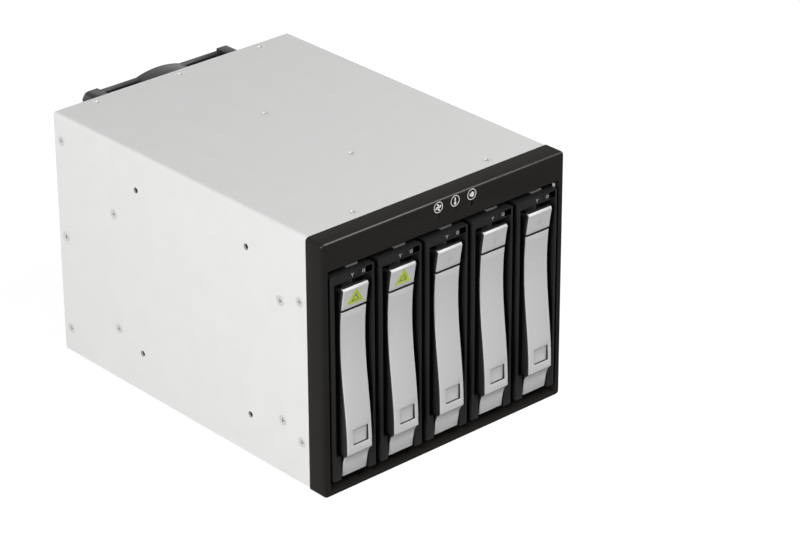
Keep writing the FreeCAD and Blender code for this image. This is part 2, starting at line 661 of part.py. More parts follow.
def fan_rotor():
    """Hub and blades, turning on the fixed shaft."""
    y0 = BODY_END + ROTOR_Y
    hub = rod((0, y0, 0), (0, 1, 0), HUB_D, HUB_R)
    hub = rounded(hub, 1.5, lambda e: e.BoundBox.YMax < y0 + 0.01)
    wheel = hub.fuse([blade(360 / BLADES * i) for i in range(BLADES)])
    tip = rod((0, y0 - 5, 0), (0, 1, 0), FAN_D + 5, FAN_BORE_R - BLADE_GAP)
    wheel = wheel.common(tip)
    wheel = wheel.cut(rod((0, y0 + 5.9, 0), (0, 1, 0), FAN_D, SHAFT_R + PIVOT_FIT))
    return moved(wheel.removeSplitter(), FAN_X, 0, FAN_Z)


GUARD_RINGS = (12.0, 22.0, 32.0, 42.0)
EYE_R = 3.2             # to the middle of the wire


def wire_ring(x, y, z, radius):
    """Ring of plain square wire round a point, lying across the fan's axis."""
    outer = rod((x, y, z), (0, 1, 0), GUARD_WIRE, radius + GUARD_WIRE / 2)
    return outer.cut(rod((x, y - 1, z), (0, 1, 0), GUARD_WIRE + 2, radius - GUARD_WIRE / 2))


def fan_guard():
    """Finger guard: a cross of wires with four screw eyes, and rings welded behind it."""
    corner = FAN_HOLES / math.sqrt(2)
    start = GUARD_RINGS[0] - 2
    arm = slab((start, corner - EYE_R), (GUARD_Y, GUARD_Y + GUARD_WIRE),
               (-GUARD_WIRE / 2, GUARD_WIRE / 2))
    arm = arm.fuse(wire_ring(corner, GUARD_Y, 0, EYE_R))
    pieces = [wire_ring(0, GUARD_Y + GUARD_WELD, 0, r) for r in GUARD_RINGS]
    for i in range(4):
        turned = arm.copy()
        turned.rotate(V(0, 0, 0), V(0, 1, 0), 45 + 90 * i)
        pieces.append(turned)
    return moved(pieces[0].fuse(pieces[1:]).removeSplitter(), FAN_X, 0, FAN_Z)


def fan_screws():
    """Four long screws through the guard's eyes and the fan into the rear panel."""
    screws = []
    for x, z in fan_corners():
        y = GUARD_Y + GUARD_WIRE
        shank = rod((x, BODY_END - FAN_BITE, z), (0, 1, 0), y - BODY_END + FAN_BITE,
                    SCREW_CORE_R - SCREW_SLACK)
        head = rod((x, y, z), (0, 1, 0), FAN_HEAD_H, FAN_HEAD_R)
        screws.append(shank.fuse(head).removeSplitter())
    return screws


# ---------------------------------------------------------------- trays

VENTS = 6
VENT_H = 7.0
TAB_W = 6.4
TAB_X = 2.8
PEG = 3.4               # length of the lever's pegs inside the cheeks


def tray_face(x):
    """Front moulding of a tray: top bar, two rails, cheeks and a slotted back wall."""
    half = FACE_W / 2
    body = slab((-half, half), (FACE_Y, FACE_BACK), (FACE_BOTTOM, FACE_TOP))
    body = rounded(body, 0.8, lambda e: along(e, 1) or (along(e, 2) and e.CenterOfMass.y < 0))
    recess = slab((-half + RAIL_W, half - RAIL_W), (FACE_Y - 1, FACE_BACK - BACK_WALL),
                  (CHEEK_TOP, FACE_TOP - BAR_H))
    slot = slab((-half + CHEEK_W, half - CHEEK_W), (FACE_Y - 1, FACE_Y + CHEEK_D),
                (FACE_BOTTOM - 1, CHEEK_TOP + 1))
    behind = slab((-half + RAIL_W, half - RAIL_W), (FACE_Y + CHEEK_D, FACE_BACK - BACK_WALL),
                  (FACE_BOTTOM + RAIL_W, CHEEK_TOP + 1))
    pitch = (FACE_TOP - BAR_H - CHEEK_TOP) / VENTS
    vents = [slab((-half + RAIL_W + 1.5, half - RAIL_W - 1.5), (0, FACE_BACK + 1),
                  (CHEEK_TOP + pitch * (i + 0.5) - VENT_H / 2,
                   CHEEK_TOP + pitch * (i + 0.5) + VENT_H / 2)) for i in range(VENTS)]
    peg_hole = rod((-half + CHEEK_W - PEG, PIVOT_Y, PIVOT_Z), (1, 0, 0),
                   FACE_W - 2 * (CHEEK_W - PEG), PIVOT_R + PIVOT_FIT)
    body = body.cut([recess, slot, behind, peg_hole] + vents)
    body = body.cut([pipe_path(px, FIT / 2) for px in PIPE_X])
    return moved(body.removeSplitter(), x)


LENS_W = 3.4
LENS_H = 2.6
LENS_Z = FACE_TOP - BAR_H / 2
PIPE_RISE_Y = FACE_BACK + 1.2
PIPE_END = CARRIER_END + 2.0


def pipe_path(px, grow=0.0):
    """Light pipe from its lens in the top bar, up over the carrier and back to the board."""
    w = PIPE_W / 2 + grow
    lens = slab((px - LENS_W / 2 - grow, px + LENS_W / 2 + grow), (FACE_Y + 0.3 - grow * 20, 5.0),
                (LENS_Z - LENS_H / 2 - grow, LENS_Z + LENS_H / 2 + grow))
    low = slab((px - w, px + w), (4.0, PIPE_RISE_Y + 0.5), (LENS_Z - w, LENS_Z + w))
    rise = slab((px - w, px + w), (PIPE_RISE_Y, PIPE_RISE_Y + PIPE_W + 2 * grow),
                (LENS_Z - w, PIPE_Z0 + PIPE_W))
    return lens.fuse([low, rise]).removeSplitter()


def tray_lights(x):
    """The two light pipes of a tray."""
    pipes = []
    for px in PIPE_X:
        run = slab((px - PIPE_W / 2, px + PIPE_W / 2), (PIPE_RISE_Y, PIPE_END),
                   (PIPE_Z0, PIPE_Z0 + PIPE_W))
        pipes.append(moved(pipe_path(px).fuse(run).removeSplitter(), x))
    return pipes


def tray_carrier(x):
    """Sheet metal channel for the drive: one web, two flanges, pressed beads to run on."""
    y = (FACE_BACK, CARRIER_END)
    web = slab((CARRIER_X0, DRIVE_X0), y, (DRIVE_Z0 - PLATE, DRIVE_Z1 + PLATE))
    top = slab((CARRIER_X0, FLANGE_X1), y, (DRIVE_Z1, DRIVE_Z1 + PLATE))
    bottom = slab((CARRIER_X0, FLANGE_X1), y, (DRIVE_Z0 - PLATE, DRIVE_Z0))
    tab = slab((TAB_X - TAB_W / 2, TAB_X + TAB_W / 2), (TAB_FRONT, FACE_BACK + 1),
               (FACE_TOP, FACE_TOP + PLATE))
    beads = []
    for z in (DRIVE_Z1 + PLATE, BEAD_BOTTOM):
        bead = slab((BEAD_X - BEAD_W / 2, BEAD_X + BEAD_W / 2), (BEAD_START, CARRIER_END - 2),
                    (z, z + BEAD_H))
        far = z + BEAD_H if z > MID_Z else z
        ends = [e for e in bead.Edges if along(e, 0) and abs(e.CenterOfMass.z - far) < 0.01]
        beads.append(bead.makeChamfer(BEAD_H * 0.8, ends))
    body = web.fuse([top, bottom, tab] + beads)
    cuts = []
    for i in range(3):
        for j in (-1, 1):
            cy = WEB_HOLE_Y + i * WEB_HOLE_DY
            cz = MID_Z + j * WEB_HOLE_DZ / 2
            cuts.append(slab((CARRIER_X0 - 1, DRIVE_X0 + 1), (cy - WEB_HOLE / 2, cy + WEB_HOLE / 2),
                             (cz - WEB_HOLE / 2, cz + WEB_HOLE / 2)))
    cuts += [rod((CARRIER_X0 - 1, hy, hz), (1, 0, 0), 3, DRIVE_HOLE_R) for hy, hz in drive_holes()]
    cuts += [slab((px - PIPE_W, px + PIPE_W), (PIPE_RISE_Y - 1, PIPE_RISE_Y + PIPE_W + 1),
                  (DRIVE_Z1 - 1, DRIVE_Z1 + PLATE + 1)) for px in PIPE_X]
    return moved(body.cut(cuts).removeSplitter(), x)


TAB_FRONT = 3.3
WEB_HOLE = 21.0         # square air holes of the web
WEB_HOLE_Y = DRIVE_START + 34.8
WEB_HOLE_DY = 32.0
WEB_HOLE_DZ = 40.0
DRIVE_HOLE_R = 1.8
DRIVE_HOLE_BACK = 41.28  # standard bottom holes, from the drive's connector end
DRIVE_HOLE_DY = 76.2
DRIVE_HOLE_DZ = 95.25


def drive_holes():
    """The four standard bottom holes of the drive, as (y, z)."""
    y1 = DRIVE_START + DRIVE_L - DRIVE_HOLE_BACK
    return [(y1 - i * DRIVE_HOLE_DY, MID_Z + s * DRIVE_HOLE_DZ / 2) for i in (0, 1) for s in (-1, 1)]


# ---------------------------------------------------------------- levers

CURVE_STEPS = 5
FOOT_MID = (-1.55, FACE_BOTTOM + 9.8)
FOOT_TOP = (-0.7, FACE_BOTTOM + 6.6)
FOOT_Y = 0.25
ARM_WALL = 1.4
ARM_SKIN = 1.8
ARM_TOP = FACE_TOP - 8.8
BOSS_R = 3.4
FORK_X = 3.2
STEM_FIT = 0.12
BUTTON_T = 1.8
HOOK_TOP = FACE_TOP - BAR_H - 0.4


def face_y(z):
    """Depth of the lever's curved face at a height: an S from the ledge to the button."""
    if z > WAIST_Z:
        share = (z - WAIST_Z) / (BUTTON_TOP - WAIST_Z)
        return WAIST_Y + (BUTTON_TOP_Y - WAIST_Y) * share ** 2
    share = (WAIST_Z - z) / (WAIST_Z - LEDGE_Z)
    return WAIST_Y + (LEDGE_Y - WAIST_Y) * (1 - math.cos(math.pi * share)) / 2


def curve(z0, z1, shift=0.0):
    """Smooth edge along the lever's face between two heights, shifted back by a depth."""
    zs = [z0 + (z1 - z0) * i / CURVE_STEPS for i in range(CURVE_STEPS + 1)]
    spline = Part.BSplineCurve()
    spline.interpolate([V(0, face_y(z) + shift, z) for z in zs])
    return spline.toShape()


def line(a, b):
    """Straight edge between two (y, z) points."""
    return Part.makeLine(V(0, *a), V(0, *b))


def drawn(edges, width):
    """Outline of edges in the middle plane, drawn out to a width across it."""
    face = Part.Face(Part.Wire(Part.__sortEdges__(edges)))
    solid = face.extrude(V(width, 0, 0))
    solid.translate(V(-width / 2, 0, 0))
    return solid


def cover_outline(shift):
    """Front outline of the lever from its upper end, over the ledge, to the foot's tip."""
    s = curve(LEDGE_Z, SPLIT_Z, shift)
    ledge = (LEDGE_Y + shift, LEDGE_Z)
    arc = Part.Arc(V(0, *ledge), V(0, FOOT_MID[0] + shift, FOOT_MID[1]),
                   V(0, FOOT_TOP[0] + shift, FOOT_TOP[1])).toShape()
    foot = line((FOOT_TOP[0] + shift, FOOT_TOP[1]), (FOOT_Y + shift, LEVER_BOTTOM))
    return [s, arc, foot]


POCKET_EDGE = 2.0       # square recess in the lever's face: from the lever's right edge
POCKET_RISE = 4.0       # its bottom, over the ledge
POCKET_SIZE = (8.8, 7.6)
POCKET_DEPTH = 0.95     # from the ledge's depth
SLIT_W = 0.45           # slit through the shell along the recess's right edge


def lever_cover(x):
    """Curved front shell of the lever, with the small square recess near its lower end."""
    outer = cover_outline(0)
    inner = cover_outline(COVER_T)
    top = line((face_y(SPLIT_Z), SPLIT_Z), (face_y(SPLIT_Z) + COVER_T, SPLIT_Z))
    tip = line((FOOT_Y, LEVER_BOTTOM), (FOOT_Y + COVER_T, LEVER_BOTTOM))
    shell = drawn(outer + inner + [top, tip], LEVER_W)
    x1 = LEVER_W / 2 - POCKET_EDGE
    x0 = x1 - POCKET_SIZE[0]
    z = (LEDGE_Z + POCKET_RISE, LEDGE_Z + POCKET_RISE + POCKET_SIZE[1])
    recess = slab((x0, x1), (LEDGE_Y - 1, LEDGE_Y + POCKET_DEPTH), z)
    slit = slab((x1 - SLIT_W, x1), (LEDGE_Y - 1, LEDGE_Y + 2 * COVER_T), z)
    return moved(shell.cut([recess, slit]), x)


def lever_arm(x):
    """Dark arm behind the shell: ribbed back, pivot pegs below, a fork for the button above."""
    front = cover_outline(COVER_T)
    back = [line((FOOT_Y + COVER_T, LEVER_BOTTOM), (PIVOT_Y, LEVER_BOTTOM)),
            line((PIVOT_Y, LEVER_BOTTOM), (ARM_BACK, PIVOT_Z)),
            line((ARM_BACK, PIVOT_Z), (ARM_BACK, SPLIT_Z)),
            line((ARM_BACK, SPLIT_Z), (face_y(SPLIT_Z) + COVER_T, SPLIT_Z))]
    arm = drawn(front + back, ARM_W)
    fork = slab((-ARM_W / 2, ARM_W / 2), (FORK_FRONT, ARM_BACK), (SPLIT_Z - 1, ARM_TOP))
    boss = rod((-ARM_W / 2, PIVOT_Y, PIVOT_Z), (1, 0, 0), ARM_W, BOSS_R)
    arm = arm.fuse([fork, boss])
    slot = slab((-FORK_X - STEM_FIT, FORK_X + STEM_FIT), (FORK_FRONT - 1, ARM_BACK + 1),
                (SPLIT_Z + 1.4, ARM_TOP + 1))
    cells = []
    cell_h = (SPLIT_Z - 4 - (PIVOT_Z + 8)) / 4
    for i in range(4):
        z0 = PIVOT_Z + 8 + i * cell_h
        cells.append(slab((-ARM_W / 2 + ARM_WALL, ARM_W / 2 - ARM_WALL),
                          (COVER_T + ARM_SKIN, ARM_BACK + 1), (z0, z0 + cell_h - ARM_WALL)))
    reach = FACE_W / 2 - CHEEK_W + PEG - 0.2
    pegs = rod((-reach, PIVOT_Y, PIVOT_Z), (1, 0, 0), 2 * reach, PIVOT_R)
    arm = arm.cut([slot] + cells).fuse(pegs).removeSplitter()
    return moved(arm, x)


FORK_FRONT = 1.0


def button(x):
    """Release button: curved plate in line with the lever's face, stem and hook."""
    z0 = SPLIT_Z + SPLIT_GAP
    outer = curve(z0, BUTTON_TOP)
    inner = curve(z0, BUTTON_TOP, BUTTON_T)
    low = line((face_y(z0), z0), (face_y(z0) + BUTTON_T, z0))
    lip = [line((BUTTON_TOP_Y, BUTTON_TOP), (BUTTON_TOP_Y + 0.7, BUTTON_TOP + 1.0)),
           line((BUTTON_TOP_Y + 0.7, BUTTON_TOP + 1.0), (BUTTON_TOP_Y + BUTTON_T + 0.6,
                                                         BUTTON_TOP + 1.0)),
           line((BUTTON_TOP_Y + BUTTON_T + 0.6, BUTTON_TOP + 1.0),
                (BUTTON_TOP_Y + BUTTON_T, BUTTON_TOP))]
    plate = drawn([outer, inner, low] + lip, LEVER_W)
    stem_z = SPLIT_Z + 1.4 + BUTTON_TRAVEL + 0.3
    stem = slab((-FORK_X, FORK_X), (face_y(stem_z) + BUTTON_T - 0.4, ARM_BACK - 0.6),
                (stem_z, ARM_TOP - 1))
    hook = slab((-FORK_X, FORK_X), (ARM_BACK - 2.6, ARM_BACK - 0.6), (ARM_TOP - 2, HOOK_TOP))
    nose = prism_x([(ARM_BACK - 0.7, HOOK_TOP - 1.6), (ARM_BACK + 1.4, HOOK_TOP - 1.6),
                    (ARM_BACK - 0.7, HOOK_TOP)], -FORK_X, FORK_X)
    return moved(plate.fuse([stem, hook, nose]).removeSplitter(), x)


# ---------------------------------------------------------------- the whole cage


def main():
    os.makedirs("parts", exist_ok=True)
    save("outer_cover", outer_cover())
    save("base_plate", base_plate())
    save("rear_panel", rear_panel())
    save("bezel", bezel())
    save("status_lights", *status_lights())
    save("indicator_board", indicator_board())
    save("mute_button", mute_button())
    save("upper_guide", upper_guide())
    save("lower_guide", lower_guide())
    save("side_guide_left", side_guide(-1))
    save("side_guide_right", side_guide(1))
    save("backplane_board", backplane_board())
    save("board_standoffs", *board_standoffs())
    save("drive_connectors", *[drive_connector(x) for x in TRAY_X])
    save("data_ports", *[data_port(DATA_Z0 + i * DATA_DZ) for i in range(TRAYS)])
    save("power_sockets", *[power_socket(z) for z in POWER_Z])
    save("fan_header", fan_header())
    save("buzzer", buzzer())
    save("top_screws", *[screw(p, d) for p, d in top_points()])
    save("base_screws", *[screw(p, d) for p, d in base_points()])
    save("side_screws", *[screw(p, d) for p, d in side_points(SIDE_SPOTS)])
    save("fan_frame", fan_frame())
    save("fan_rotor", fan_rotor())
    save("fan_guard", fan_guard())
    save("fan_screws", *fan_screws())
    for i, x in enumerate(TRAY_X, start=1):
        save(f"tray_{i}_face", tray_face(x))
        save(f"tray_{i}_carrier", tray_carrier(x))
        save(f"tray_{i}_lights", *tray_lights(x))
        save(f"lever_{i}_arm", lever_arm(x))
        save(f"lever_{i}_cover", lever_cover(x))
        save(f"button_{i}", button(x))


main()
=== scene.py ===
import math

import bmesh
import bpy
from mathutils import Matrix, Vector


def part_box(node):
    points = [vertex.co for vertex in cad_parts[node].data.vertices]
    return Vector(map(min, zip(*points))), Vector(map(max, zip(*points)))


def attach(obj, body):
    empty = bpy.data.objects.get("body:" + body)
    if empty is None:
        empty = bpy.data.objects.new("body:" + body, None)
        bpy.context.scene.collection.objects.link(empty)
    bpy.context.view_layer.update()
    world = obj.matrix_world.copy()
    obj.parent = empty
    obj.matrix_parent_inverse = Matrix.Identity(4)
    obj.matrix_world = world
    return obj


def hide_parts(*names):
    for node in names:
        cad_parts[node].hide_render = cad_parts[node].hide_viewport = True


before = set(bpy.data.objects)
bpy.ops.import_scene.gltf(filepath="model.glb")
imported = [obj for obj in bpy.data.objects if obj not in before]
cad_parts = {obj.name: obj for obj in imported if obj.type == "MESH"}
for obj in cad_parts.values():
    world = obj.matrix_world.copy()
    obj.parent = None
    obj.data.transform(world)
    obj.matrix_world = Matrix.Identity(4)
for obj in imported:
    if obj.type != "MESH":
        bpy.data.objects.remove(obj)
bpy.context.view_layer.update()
MM = 0.001
TRAYS = range(1, 6)

for left_over in ("Cube", "Light", "Camera"):
    if left_over in bpy.data.objects:
        bpy.data.objects.remove(bpy.data.objects[left_over])

# ------------------------------------------------------------------ sheet steel case
# The cover is one zinc-coated steel sheet, bent over the top and both sides. The base plate
# and the rear panel close it. All three are cold rolled, so a faint grain runs from front to back.


class Reading:
    """A shader value that Python's own operators work on; a | b is the greater of the two."""

    def __init__(self, shading, socket):
        self.shading = shading
        self.socket = socket

    def worked(self, operation, *values):
        return self.shading.node("ShaderNodeMath", {"operation": operation}, dict(enumerate(values)))

    def __add__(self, other):
        return self.worked("ADD", self, other)

    def __mul__(self, other):
        return self.worked("MULTIPLY", self, other)

    def __gt__(self, other):
        return self.worked("GREATER_THAN", self, other)

    def __lt__(self, other):
        return self.worked("LESS_THAN", self, other)

    def __or__(self, other):
        return self.worked("MAXIMUM", self, other)

    def __abs__(self):
        return self.worked("ABSOLUTE", self)

    __radd__ = __add__
    __rmul__ = __mul__


class Shading:
    """A node tree that grows by one node at a time."""

    def __init__(self, tree):
        self.tree = tree

    def feed(self, socket, value):
        """Gives a socket a link or a value."""
        if isinstance(value, Reading):
            self.tree.links.new(value.socket, socket)
        else:
            socket.default_value = value

    def node(self, kind, settings, sockets, out=0):
        """Adds a node of any type: its settings first, then its sockets."""
        made = self.tree.nodes.new(kind)
        for name, value in settings.items():
            setattr(made, name, value)
        for name, value in sockets.items():
            self.feed(made.inputs[name], value)
        return Reading(self, made.outputs[out])

    def seen_by(self, *rays):
        """1 to the rays of these kinds, 0 to all others."""
        path = [self.node("ShaderNodeLightPath", {}, {}, ray) for ray in rays]
        seen = path[0]
        for other in path[1:]:
            seen = seen | other
        return seen


class Paint(Shading):
    """One finish: a material whose Principled shader is fed by socket name."""

    def __init__(self, name, **fixed):
        self.material = bpy.data.materials.new(name)
        self.material.use_nodes = True
        super().__init__(self.material.node_tree)
        self.shader = self.tree.nodes["Principled BSDF"]
        self.give(**fixed)

    def give(self, **sockets):
        """Feeds the shader's own sockets."""
        for name, value in sockets.items():
            self.feed(self.shader.inputs[name.replace("_", " ")], value)

    def place(self, stretch=(1, 1, 1)):
        """The point on the piece, in metres, with its axes scaled."""
        point = self.node("ShaderNodeTexCoord", {}, {}, "Object")
        return self.node("ShaderNodeMapping", {}, {"Vector": point, "Scale": stretch})

    def along(self, vector, axis):
        """One coordinate of a vector."""
        return self.node("ShaderNodeSeparateXYZ", {}, {"Vector": vector}, axis)

    def facing(self, axis):
        """How far the surface looks along an axis, from -1 to 1."""
        return self.along(self.node("ShaderNodeTexCoord", {}, {}, "Normal"), axis)

    def cloud(self, grain, detail=3.0, stretch=(1, 1, 1)):
        """Noise around 0.5, with features about one grain across."""
        return self.node("ShaderNodeTexNoise", {},
                         {"Vector": self.place(stretch), "Scale": 1 / grain, "Detail": detail})

    def blend(self, share, one, other):
        """A colour between two, each given by its parts or as a level of grey."""
        one, other = (level if isinstance(level, Reading) else rgba(level) for level in (one, other))
        return self.node("ShaderNodeMix", {"data_type": "RGBA"}, {0: share, 6: one, 7: other}, 2)

    def relief(self, height, depth, strength=1.0):
        """Small unevenness of the surface, up to a depth in metres."""
        self.give(Normal=self.node("ShaderNodeBump", {},
                                   {"Strength": strength, "Distance": depth, "Height": height}))


def rgba(colour):
    """Opaque colour from its three parts, or from one level of grey."""
    return (colour, colour, colour, 1) if isinstance(colour, (int, float)) else (*colour, 1)


def coat(paint, *nodes):
    """Paints CAD nodes that stay as they are."""
    for node in nodes:
        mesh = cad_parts[node].data
        mesh.materials.clear()
        mesh.materials.append(paint.material)


zinc = Paint("zinc_sheet", Metallic=0.1, Specular_IOR_Level=0.15)
rolled = zinc.cloud(0.35 * MM, 2, stretch=(1, 0.04, 1))
spangle = zinc.cloud(14 * MM, 4)
zinc.give(Base_Color=zinc.blend(spangle * 0.6 + rolled * 0.4, (0.58, 0.58, 0.575),
                                (0.64, 0.64, 0.635)),
          Roughness=0.40 + 0.10 * rolled + 0.08 * spangle)
zinc.relief(rolled, 0.006 * MM, 0.5)
coat(zinc, "outer_cover", "base_plate", "rear_panel")

# ------------------------------------------------------------------ case screws
# Countersunk screws with a cross recess, of plated steel, hold the panels, the guides and the
# bezel together. Their heads lie flush with the sheet.

HEAD_R = 2.55 * MM
HEAD_H = 1.0 * MM
SHANK_R = 1.3 * MM
CROSS_W = 0.62 * MM
CROSS_R = 1.55 * MM
CROSS_DEPTH = 0.8 * MM
STUB = 1.1 * MM
RIM_W = 0.12 * MM
RIM_H = 0.05 * MM
CROSS_TAPER = 0.45
WELD = 0.002 * MM
SMOOTH_BELOW = math.radians(35)
SQUARE_ON = 0.9


def alone(piece):
    """Selects one object and makes it active."""
    bpy.ops.object.select_all(action="DESELECT")
    piece.select_set(True)
    bpy.context.view_layer.objects.active = piece


def fresh(shape, **how):
    """Adds a mesh primitive with nothing else selected."""
    bpy.ops.object.select_all(action="DESELECT")
    getattr(bpy.ops.mesh, f"primitive_{shape}_add")(**how)
    return bpy.context.object


def pick(kind, test):
    """In edit mode, selects only the faces, edges or vertices that pass a test."""
    bpy.ops.mesh.select_mode(type=kind)
    bpy.ops.mesh.select_all(action="DESELECT")
    mesh = bmesh.from_edit_mesh(bpy.context.edit_object.data)
    for part in {"FACE": mesh.faces, "EDGE": mesh.edges, "VERT": mesh.verts}[kind]:
        part.select_set(test(part))
    bmesh.update_edit_mesh(bpy.context.edit_object.data)


def modified(piece, kind, **settings):
    """Adds a modifier and applies it."""
    alone(piece)
    modifier = piece.modifiers.new(kind.lower(), kind)
    for name, value in settings.items():
        setattr(modifier, name, value)
    bpy.ops.object.modifier_apply(modifier=modifier.name)
    return piece


def applied(piece):
    """Moves an object's place, turn and size into its mesh."""
    alone(piece)
    bpy.ops.object.transform_apply(location=True, rotation=True, scale=True)
    return piece


def joined(pieces):
    """Makes one object of several."""
    bpy.ops.object.select_all(action="DESELECT")
    for piece in pieces:
        piece.select_set(True)
    bpy.context.view_layer.objects.active = pieces[0]
    bpy.ops.object.join()
    return bpy.context.object


def twin(piece, matrix):
    """Copy of an object with its own mesh, moved by a matrix."""
    copy = piece.copy()
    copy.data = piece.data.copy()
    copy.data.transform(matrix)
    bpy.context.scene.collection.objects.link(copy)
    return copy


def settle(piece, name, body, paint, slot, *stands_for):
    """Names a finished piece, paints it and fixes it to its body."""
    applied(piece)
    bpy.ops.object.shade_smooth_by_angle(angle=SMOOTH_BELOW)
    piece.name = name
    piece.data.name = name
    piece.data.materials.clear()
    piece.data.materials.append(paint.material)
    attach(piece, body)
    if stands_for:
        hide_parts(*stands_for)


def merged(node):
    """Welded copy of a CAD node's mesh, as a piece of its own."""
    piece = bpy.data.objects.new(node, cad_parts[node].data.copy())
    bpy.context.scene.collection.objects.link(piece)
    alone(piece)
    bpy.ops.mesh.customdata_custom_splitnormals_clear()
    bpy.ops.object.mode_set(mode="EDIT")
    bpy.ops.mesh.select_all(action="SELECT")
    bpy.ops.mesh.remove_doubles(threshold=WELD)
    bpy.ops.object.mode_set(mode="OBJECT")
    return piece


def solids_of(node):
    """Lowest and highest corner of each separate solid of a CAD node."""
    merged(node)
    bpy.ops.object.mode_set(mode="EDIT")
    bpy.ops.mesh.select_all(action="SELECT")
    bpy.ops.mesh.separate(type="LOOSE")
    bpy.ops.object.mode_set(mode="OBJECT")
    boxes = []
    for part in list(bpy.context.selected_objects):
        points = [v.co for v in part.data.vertices]
        low = Vector([min(p[i] for p in points) for i in range(3)])
        high = Vector([max(p[i] for p in points) for i in range(3)])
        boxes.append((low, high))
        bpy.data.objects.remove(part)
    return sorted(boxes, key=lambda box: tuple(box[0]))


def cross_recess(depth, reach, width):
    """Tapered cross that is cut out of a screw's head; its mouth lies at the origin."""
    bars = []
    for turn in (0, 90):
        bar = fresh("cube", size=1, location=(0, 0, -depth / 4))
        bar.scale = (2 * reach, width, 1.5 * depth)
        bar.rotation_euler = (0, 0, math.radians(turn))
        applied(bar)
        bpy.ops.object.mode_set(mode="EDIT")
        pick("FACE", lambda face: face.normal.z < -SQUARE_ON)
        bpy.ops.transform.resize(value=(CROSS_TAPER, CROSS_TAPER, 1), center_override=(0, 0, 0))
        bpy.ops.object.mode_set(mode="OBJECT")
        bars.append(bar)
    return bars


def cut_out(piece, tools):
    """Cuts each tool out of a piece and removes the tool."""
    for tool in tools:
        modified(piece, "BOOLEAN", operation="DIFFERENCE", object=tool, solver="EXACT")
        bpy.data.objects.remove(tool)
    return piece


def flat_screw():
    """Countersunk screw with its head's face at the origin, looking up."""
    screw = fresh("cylinder", vertices=32, radius=HEAD_R, depth=HEAD_H, location=(0, 0, -HEAD_H / 2))
    applied(screw)
    bpy.ops.object.mode_set(mode="EDIT")
    pick("FACE", lambda face: face.normal.z < -SQUARE_ON)
    share = SHANK_R / HEAD_R
    bpy.ops.transform.resize(value=(share, share, 1), center_override=(0, 0, -HEAD_H))
    bpy.ops.mesh.extrude_region_move(TRANSFORM_OT_translate={"value": (0, 0, -STUB)})
    pick("FACE", lambda face: face.normal.z > SQUARE_ON)
    bpy.ops.mesh.inset(thickness=RIM_W)
    bpy.ops.transform.translate(value=(0, 0, RIM_H))
    bpy.ops.object.mode_set(mode="OBJECT")
    return cut_out(screw, cross_recess(CROSS_DEPTH, CROSS_R, CROSS_W))


def set_screws(node, pattern, outward):
    """Puts a copy of a screw at each solid of a node, its head looking outward."""
    places = []
    for low, high in solids_of(node):
        middle = (low + high) / 2
        way = outward(middle)
        for i in range(3):
            if abs(way[i]) > 0.5:
                middle[i] = high[i] if way[i] > 0 else low[i]
        turn = way.to_track_quat("Z", "Y").to_matrix().to_4x4()
        places.append(twin(pattern, Matrix.Translation(middle) @ turn))
    bpy.data.objects.remove(pattern)
    return joined(places)


plated = Paint("plated_screw", Metallic=1.0)
scuff = plated.cloud(0.5 * MM, 4)
plated.give(Base_Color=plated.blend(scuff, (0.50, 0.50, 0.49), (0.68, 0.68, 0.67)),
            Roughness=0.22 + 0.2 * scuff)
plated.relief(scuff, 0.01 * MM, 0.4)

settle(set_screws("top_screws", flat_screw(), lambda spot: Vector((0, 0, 1))),
       "top_screw_heads", "cage", plated, "screw_steel", "top_screws")
settle(set_screws("base_screws", flat_screw(), lambda spot: Vector((0, 0, -1))),
       "base_screw_heads", "cage", plated, "screw_steel", "base_screws")
settle(set_screws("side_screws", flat_screw(), lambda spot: Vector((math.copysign(1, spot.x), 0, 0))),
       "side_screw_heads", "cage", plated, "screw_steel", "side_screws")

# ------------------------------------------------------------------ guides
# Black moulded guides lie over and under the trays, and a thin perforated wall stands on each
# side. Screws through the case hold them.

guide_black = Paint("guide_plastic_black", Specular_IOR_Level=0.12)
moulded = guide_black.cloud(0.6 * MM, 3)
guide_black.give(Base_Color=guide_black.blend(guide_black.cloud(30 * MM, 2), 0.016, (0.024, 0.024, 0.023)),
                 Roughness=0.42 + 0.16 * moulded)
guide_black.relief(moulded, 0.02 * MM, 0.5)
coat(guide_black, "upper_guide", "lower_guide", "side_guide_left", "side_guide_right")

# ------------------------------------------------------------------ backplane
# A green circuit board behind the drives, held off the rear panel by hexagonal pillars. The
# drive plugs are soldered to its front, and the sockets, the sounder and the fan's plug to its back.

GOLD_T = 0.12 * MM
CONTACT_W = 0.7 * MM
DATA_STEP = 1.27 * MM
PLUG_ROWS = ((6.4 * MM, 7), (18.9 * MM, 14))
PLUG_CONTACT_IN = (0.4 * MM, 2.9 * MM)
PLUG_TONGUE_X = 0.8 * MM
PORT_CONTACTS = 7
PORT_CONTACT_IN = (7.8 * MM, 1.2 * MM)
PORT_TONGUE_Z = 0.6 * MM
POWER_PINS = 4
PIN_R = 1.05 * MM
PIN_L = 8.5 * MM
PIN_TIP = 0.9 * MM
PIN_STEP = 5.08 * MM
PIN_IN = 10.6 * MM
FACING_BACK = Matrix.Rotation(math.radians(-90), 4, "X")


def lacquered_board(name, dark, light):
    """Circuit board: solder mask over fine copper tracks."""
    paint = Paint(name, Coat_Weight=0.4, Coat_Roughness=0.2)
    tracks = paint.cloud(1.1 * MM, 0, stretch=(1, 1, 0.06)) > 0.56
    paint.give(Base_Color=paint.blend(tracks, dark, light),
               Roughness=0.34 + 0.1 * paint.cloud(3 * MM, 3))
    paint.relief(tracks, 0.03 * MM, 0.5)
    return paint


def gold_strips(name, body, boxes, slot):
    """Rows of thin plated contacts, one for each given low and high corner."""
    strips = []
    for low, high in boxes:
        strip = fresh("cube", size=1, location=(Vector(low) + Vector(high)) / 2)
        strip.scale = Vector(high) - Vector(low)
        applied(strip)
        strips.append(modified(strip, "BEVEL", width=0.03 * MM, segments=1))
    settle(joined(strips), name, body, gold, slot)


